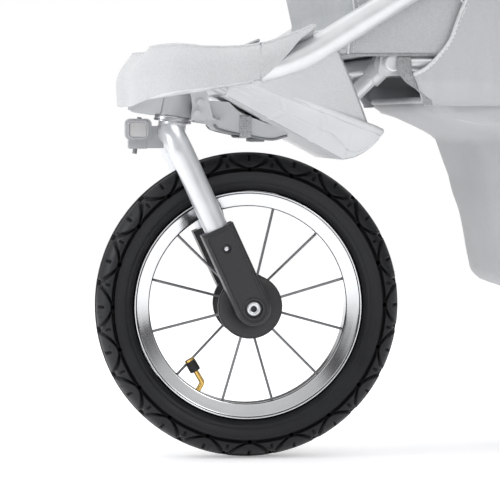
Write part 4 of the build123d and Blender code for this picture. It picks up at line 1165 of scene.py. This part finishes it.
def hood_rows(a0, a1, r0, r1, w0, w1, sag, steps, n, seed):
    rows = []
    for i in range(steps):
        t = i / (steps - 1)
        a = a0 + (a1 - a0) * t
        dip = math.sin(math.pi * t) * sag
        sec = hood_section(r0 + (r1 - r0) * t - dip, w0 + (w1 - w0) * t - dip * 0.45, n)
        row = []
        for rho, y in sec:
            p = np.array(hood_point(rho, y, a))
            ripple = wrinkle(p, 48, 1.1, seed) * math.sin(math.pi * t)
            row.append(hood_point(rho + ripple, y + 0.3 * ripple * np.sign(y), a))
        rows.append(row)
    return np.array(rows)


def build_hood():
    n = 121
    rear = hood_rows(45, 72, 240, 243.5, 184, 186, 3.0, 15, n, 1.0)
    obj = cloth("hood_rear_cloth", rear, HOOD_CLOTH, "frame", "canopy_fabric", thick=1.2)
    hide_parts("canopy_bay_rear")
    middle = hood_rows(72, 108, 243.5, 252.5, 186, 194, 7.0, 25, n, 2.0)
    mid = cloth("hood_middle_cloth", middle, HOOD_CLOTH, None, "canopy_fabric", thick=1.2)
    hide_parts("canopy_bay_middle")
    front = hood_rows(108, 152, 252.5, 261.5, 194, 202, 8.0, 29, n, 3.0)
    fro = cloth("hood_front_cloth", front, HOOD_CLOTH, None, "canopy_fabric", thick=1.2)
    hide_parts("canopy_bay_front")
    visor = []
    for i in range(9):
        t = i / 8
        sec = hood_section(261.5 + 1.0 * t, 202 - 2 * t, n)
        reach = 9.0 * t
        row = []
        for (rho, y) in sec:
            k = smoothstep(100, 240, rho)
            row.append(hood_point(rho - 3 * t * t * k, y, 152 + reach * k))
        visor.append(row)
    cloth("hood_visor", visor, HOOD_CLOTH, "canopy_front", "canopy_fabric", thick=1.6)
    edge = np.array(visor)[-1]
    pipe("hood_visor_binding", edge[::3], 2.2, EDGE, "canopy_front", "canopy_fabric", count=160, sides=8)
    for rows, body, name in ((front[-1], "canopy_front", "front"), (middle[-1], "canopy_middle", "middle"),
                             (rear[-1], "frame", "rear")):
        pipe(f"hood_piping_{name}", rows[::3], 1.9, PIPING, body, "canopy_fabric", count=160, sides=8)
    pipe("hood_rear_hem", rear[0][::3], 1.9, EDGE, "frame", "canopy_fabric", count=160, sides=8)
    return mid, fro


def blend_hood(mid, fro):
    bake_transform(mid)
    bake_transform(fro)


# ------------------------------------------------------------------ seat
def pillow(name, low, high, crown, channels, mat, body, slot, nu, nv, transform, power=0.16, quilting=3.0):
    """Crowned pad: a closed form that thins to its seams, with sewn channels across it."""
    lo, hi = np.array(low, float), np.array(high, float)
    mid = lo[2] + (hi[2] - lo[2]) * 0.42
    verts, faces = [], []
    idx = {}
    for side in (0, 1):
        for i in range(nu):
            for j in range(nv):
                if side and (i in (0, nu - 1) or j in (0, nv - 1)):
                    idx[1, i, j] = idx[0, i, j]
                    continue
                u = -1 + 2 * i / (nu - 1)
                v = -1 + 2 * j / (nv - 1)
                fall = (max(0.0, (1 - abs(u) ** 5)) * max(0.0, (1 - abs(v) ** 5))) ** power
                pull = 1 - 0.02 * math.cos(v * math.pi / 2) * (abs(u) > 0.98)
                x = (lo[0] + hi[0]) / 2 + (hi[0] - lo[0]) / 2 * u * pull
                y = (lo[1] + hi[1]) / 2 + (hi[1] - lo[1]) / 2 * v
                if side == 0:
                    z = mid + (hi[2] - mid) * fall + crown * (1 - u * u) * (1 - v * v)
                    for axis, pos, width in channels:
                        d = (u if axis == 0 else v) - pos
                        z -= quilting * math.exp(-(d / width) ** 2) * (fall ** 2)
                    z += wrinkle((x, y, 3), 38, 0.8, 6.0) * fall
                else:
                    z = mid - (mid - lo[2]) * fall
                idx[side, i, j] = len(verts)
                verts.append(transform((x, y, z)))
    for side in (0, 1):
        for i in range(nu - 1):
            for j in range(nv - 1):
                f = (idx[side, i, j], idx[side, i + 1, j], idx[side, i + 1, j + 1], idx[side, i, j + 1])
                faces.append(f if side == 0 else f[::-1])
    obj = make(name, verts, faces, mat, body)
    recalc(obj)
    return obj


def back_point(along, front, y):
    a = math.radians(70)
    c, s = math.cos(a), math.sin(a)
    return (462 + along * c - front * s, y, 428 + along * s + front * c)


def build_seat():
    channels = [(0, -0.45, 0.03), (0, 0.05, 0.03), (0, 0.5, 0.03), (1, -0.62, 0.025), (1, 0.62, 0.025)]

    def wedge(q):
        height = float(np.interp(q[0], [66, 96, 130, 430], [48, 58, 56, 29]))
        return q[0], q[1], 403 + (q[2] - 403) * height / 29

    obj = pillow("seat_cushion_pad", (67, -157, 403), (430, 157, 432), 3.0, channels, SEAT, *ON_SEAT,
                 73, 61, wedge)
    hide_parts("seat_cushion")
    rim = [wedge((248.5 + 181 * c, 156.5 * s, 415.2)) for c, s in squircle(120, 0.12)]
    pipe("seat_cushion_piping", rim, 2.0, PIPING, *ON_SEAT, closed=True, count=240, sides=8)

    def to_back(p):
        return back_point(p[0], p[2], p[1])

    channels = [(0, -0.55, 0.02), (0, -0.15, 0.02), (0, 0.25, 0.02), (0, 0.62, 0.02), (1, -0.6, 0.025),
                (1, 0.6, 0.025)]
    back = pillow("backrest_cushion", (16, -162, 9), (404, 162, 31), 3.5, channels, SEAT, "backrest",
                  "seat_fabric", 97, 81, to_back)
    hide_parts("backrest_pad")
    rim = [back_point(210 + 193.5 * c, 18.2, 161.6 * s) for c, s in squircle(160, 0.1)]
    pipe("backrest_piping", rim, 2.0, PIPING, "backrest", "seat_fabric", closed=True, count=300, sides=8)
    # sling behind the pad
    rows = []
    for i in range(41):
        s = 44 + 346 * i / 40
        rows.append([back_point(s, -7.4 + 2.2 * math.sin(math.pi * i / 40) * math.cos(y / 144 * math.pi / 2)
                                + wrinkle((s, y, 2), 50, 0.8, 1.0), y) for y in np.linspace(-149, 149, 41)])
    cloth("backrest_sling_cloth", rows, SEAT, "backrest", "seat_fabric", thick=1.4)


def build_harness():
    for side, name in HANDS:
        y = side * 53
        line = [(352, 27, 1), (345, 36.5, 1), (300, 38.5, 1), (230, 38.5, 1), (150, 38, 0.92), (100, 40, 0.8)]
        pts = [back_point(along, front, y * k) for along, front, k in line]
        ribbon(f"shoulder_web_{name}", pts, (0, 1, 0), 22, 1.8, WEBBING, "backrest", "webbing", count=60)
        pad_pts = [back_point(s, 41.5 + 1.2 * math.sin((s - 226) / 106 * math.pi), y)
                   for s in np.linspace(226, 332, 14)]
        obj = ribbon(f"shoulder_cover_{name}", pad_pts, (0, 1, 0), 34, 8.5, SEAT, "backrest", "seat_fabric")
        if side > 0:
            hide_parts("shoulder_straps")
        hip = [(226, side * 30, 512), (240, side * 60, 510), (262, side * 96, 499), (292, side * 132, 480),
               (320, side * 150, 460), (344, side * 154, 446)]
        ribbon(f"waist_web_{name}", hip, (0, 0.3, 1), 20, 1.8, WEBBING, "frame", "webbing", count=60)
    crotch = [(262, 0, 450), (248, 0, 460), (236, 0, 476), (229, 0, 492), (226, 0, 504)]
    obj = ribbon("crotch_web", crotch, (0, 1, 0), 26, 2.0, WEBBING, "frame", "webbing", count=40)
    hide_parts("harness_straps")
    pad_pts = [(254, 0, 458.5), (245, 0, 466), (236.5, 0, 478), (231, 0, 489)]
    crotch_pad = ribbon("crotch_cover", pad_pts, (0, 1, 0), 40, 9.0, SEAT, *ON_SEAT, count=30)


# ---------------------------------------------------------------- handle
def build_handle():
    dress("handlebar_grip", FOAM)
    a = math.radians(41)
    gx, gz = HUB[0] + 556 * math.cos(a), HUB[1] + 556 * math.sin(a)
    # sewn seam line under the foam sleeve
    line = [(gx + 15.8 * math.cos(-1.9), y, gz + 15.8 * math.sin(-1.9)) for y in np.linspace(-192, 192, 60)]
    pipe("grip_seam", line, 0.8, BLACK_RUBBER, "handlebar", "foam", count=80, sides=6)


# ----------------------------------------------------- stage and camera
def build_floor():
    """Pale floor that fades to white away from the object."""
    mat, nt, b = start_material("stage_white")
    put(b, Base_Color=(0.93, 0.93, 0.935, 1), Roughness=0.9, Specular_IOR_Level=0.1,
        Emission_Color=(1, 1, 1, 1), Emission_Strength=0.34)
    glow = add(nt, "Emission", Color=(1, 1, 1, 1), Strength=1.0)
    tex = add(nt, "TexCoord")
    length = add(nt, "VectorMath", {"operation": "LENGTH"})
    fac = add(nt, "MapRange", {"interpolation_type": "SMOOTHSTEP"}, From_Min=0.9, From_Max=3.2)
    mix = add(nt, "MixShader")
    nt.links.new(tex.outputs["Object"], length.inputs[0])
    nt.links.new(length.outputs["Value"], fac.inputs["Value"])
    nt.links.new(fac.outputs["Result"], mix.inputs[0])
    nt.links.new(b.outputs[0], mix.inputs[1])
    nt.links.new(glow.outputs[0], mix.inputs[2])
    out = next(n for n in nt.nodes if n.type == "OUTPUT_MATERIAL")
    nt.links.new(mix.outputs[0], out.inputs["Surface"])
    bpy.ops.mesh.primitive_circle_add(vertices=96, radius=14.0, fill_type="NGON", location=(0, 0, -0.0005))
    floor = bpy.context.object
    floor.name = "stage_floor"
    floor.data.materials.append(mat)


def build_world():
    """White behind; the object itself is lit as in a tent, with a dark band at eye level."""
    studio = bpy.data.worlds.new("studio")
    bpy.context.scene.world = studio
    studio.use_nodes = True
    wt = studio.node_tree
    bg = wt.nodes["Background"]
    put(bg, Color=(1.0, 1.0, 1.0, 1), Strength=1.0)
    tex = add(wt, "TexCoord")
    sep = add(wt, "SeparateXYZ")
    wt.links.new(tex.outputs["Generated"], sep.inputs[0])
    cloud = noise_tex(wt, tex.outputs["Generated"], 2.3, 1.0)
    height = math_node(wt, "ADD", math_node(wt, "MULTIPLY", sep.outputs[2], 0.5), 0.5)
    drift = math_node(wt, "MULTIPLY", math_node(wt, "SUBTRACT", cloud, 0.5), 0.35)
    height = math_node(wt, "ADD", height, drift)
    level = ramp(wt, height, [(0.30, grey(0.66)), (0.46, grey(0.60)), (0.50, grey(0.10)), (0.55, grey(0.12)),
                              (0.59, grey(0.66)), (0.80, grey(0.90))])
    soft = add(wt, "Background", Strength=1.0)
    wt.links.new(level, soft.inputs["Color"])
    path = add(wt, "LightPath")
    both = add(wt, "MixShader")
    wt.links.new(path.outputs["Is Camera Ray"], both.inputs[0])
    wt.links.new(soft.outputs[0], both.inputs[1])
    wt.links.new(bg.outputs[0], both.inputs[2])
    end = next(n for n in wt.nodes if n.type == "OUTPUT_WORLD")
    wt.links.new(both.outputs[0], end.inputs["Surface"])


def area_light(name, location, target, size, power, color=(1, 1, 1)):
    data = bpy.data.lights.new(name, "AREA")
    data.shape = "RECTANGLE"
    data.size, data.size_y = size
    data.energy = power
    data.color = color
    obj = bpy.data.objects.new(name, data)
    obj.location = location
    obj.rotation_euler = (Vector(target) - Vector(location)).to_track_quat("-Z", "Y").to_euler()
    bpy.context.scene.collection.objects.link(obj)


def build_stage():
    build_floor()
    build_world()
    area_light("key", (1.1, -2.3, 1.9), (-0.2, 0, 0.35), (1.2, 1.2), 13)
    area_light("top", (0.3, 0.2, 3.0), (0, 0, 0.3), (2.6, 2.6), 44)
    area_light("edge", (-2.3, -0.35, 0.9), (-0.36, 0, 0.2), (0.7, 1.5), 17, (0.95, 0.98, 1.0))


def build_camera():
    data = bpy.data.cameras.new("camera")
    cam = bpy.data.objects.new("camera", data)
    bpy.context.scene.collection.objects.link(cam)
    eye = Vector(world((-276, -2400, 339.5)))
    aim = Vector(world((3, 0, 207)))
    cam.location = eye
    cam.rotation_euler = (aim - eye).to_track_quat("-Z", "Y").to_euler()
    data.sensor_width = 36.0
    data.lens = 36.0 * (aim - eye).length / 0.5
    data.clip_start = 0.05
    bpy.context.scene.camera = cam
    bpy.context.scene.view_settings.view_transform = "Standard"


build_front_wheel()
build_rear_wheels()
build_fork()
build_frame()
build_footrest()
build_toe_guard()
build_footwell()
build_seat_sides()
build_basket()
hood_mid, hood_front = build_hood()
blend_hood(hood_mid, hood_front)
build_seat()
build_harness()
build_handle()
build_stage()
build_camera()
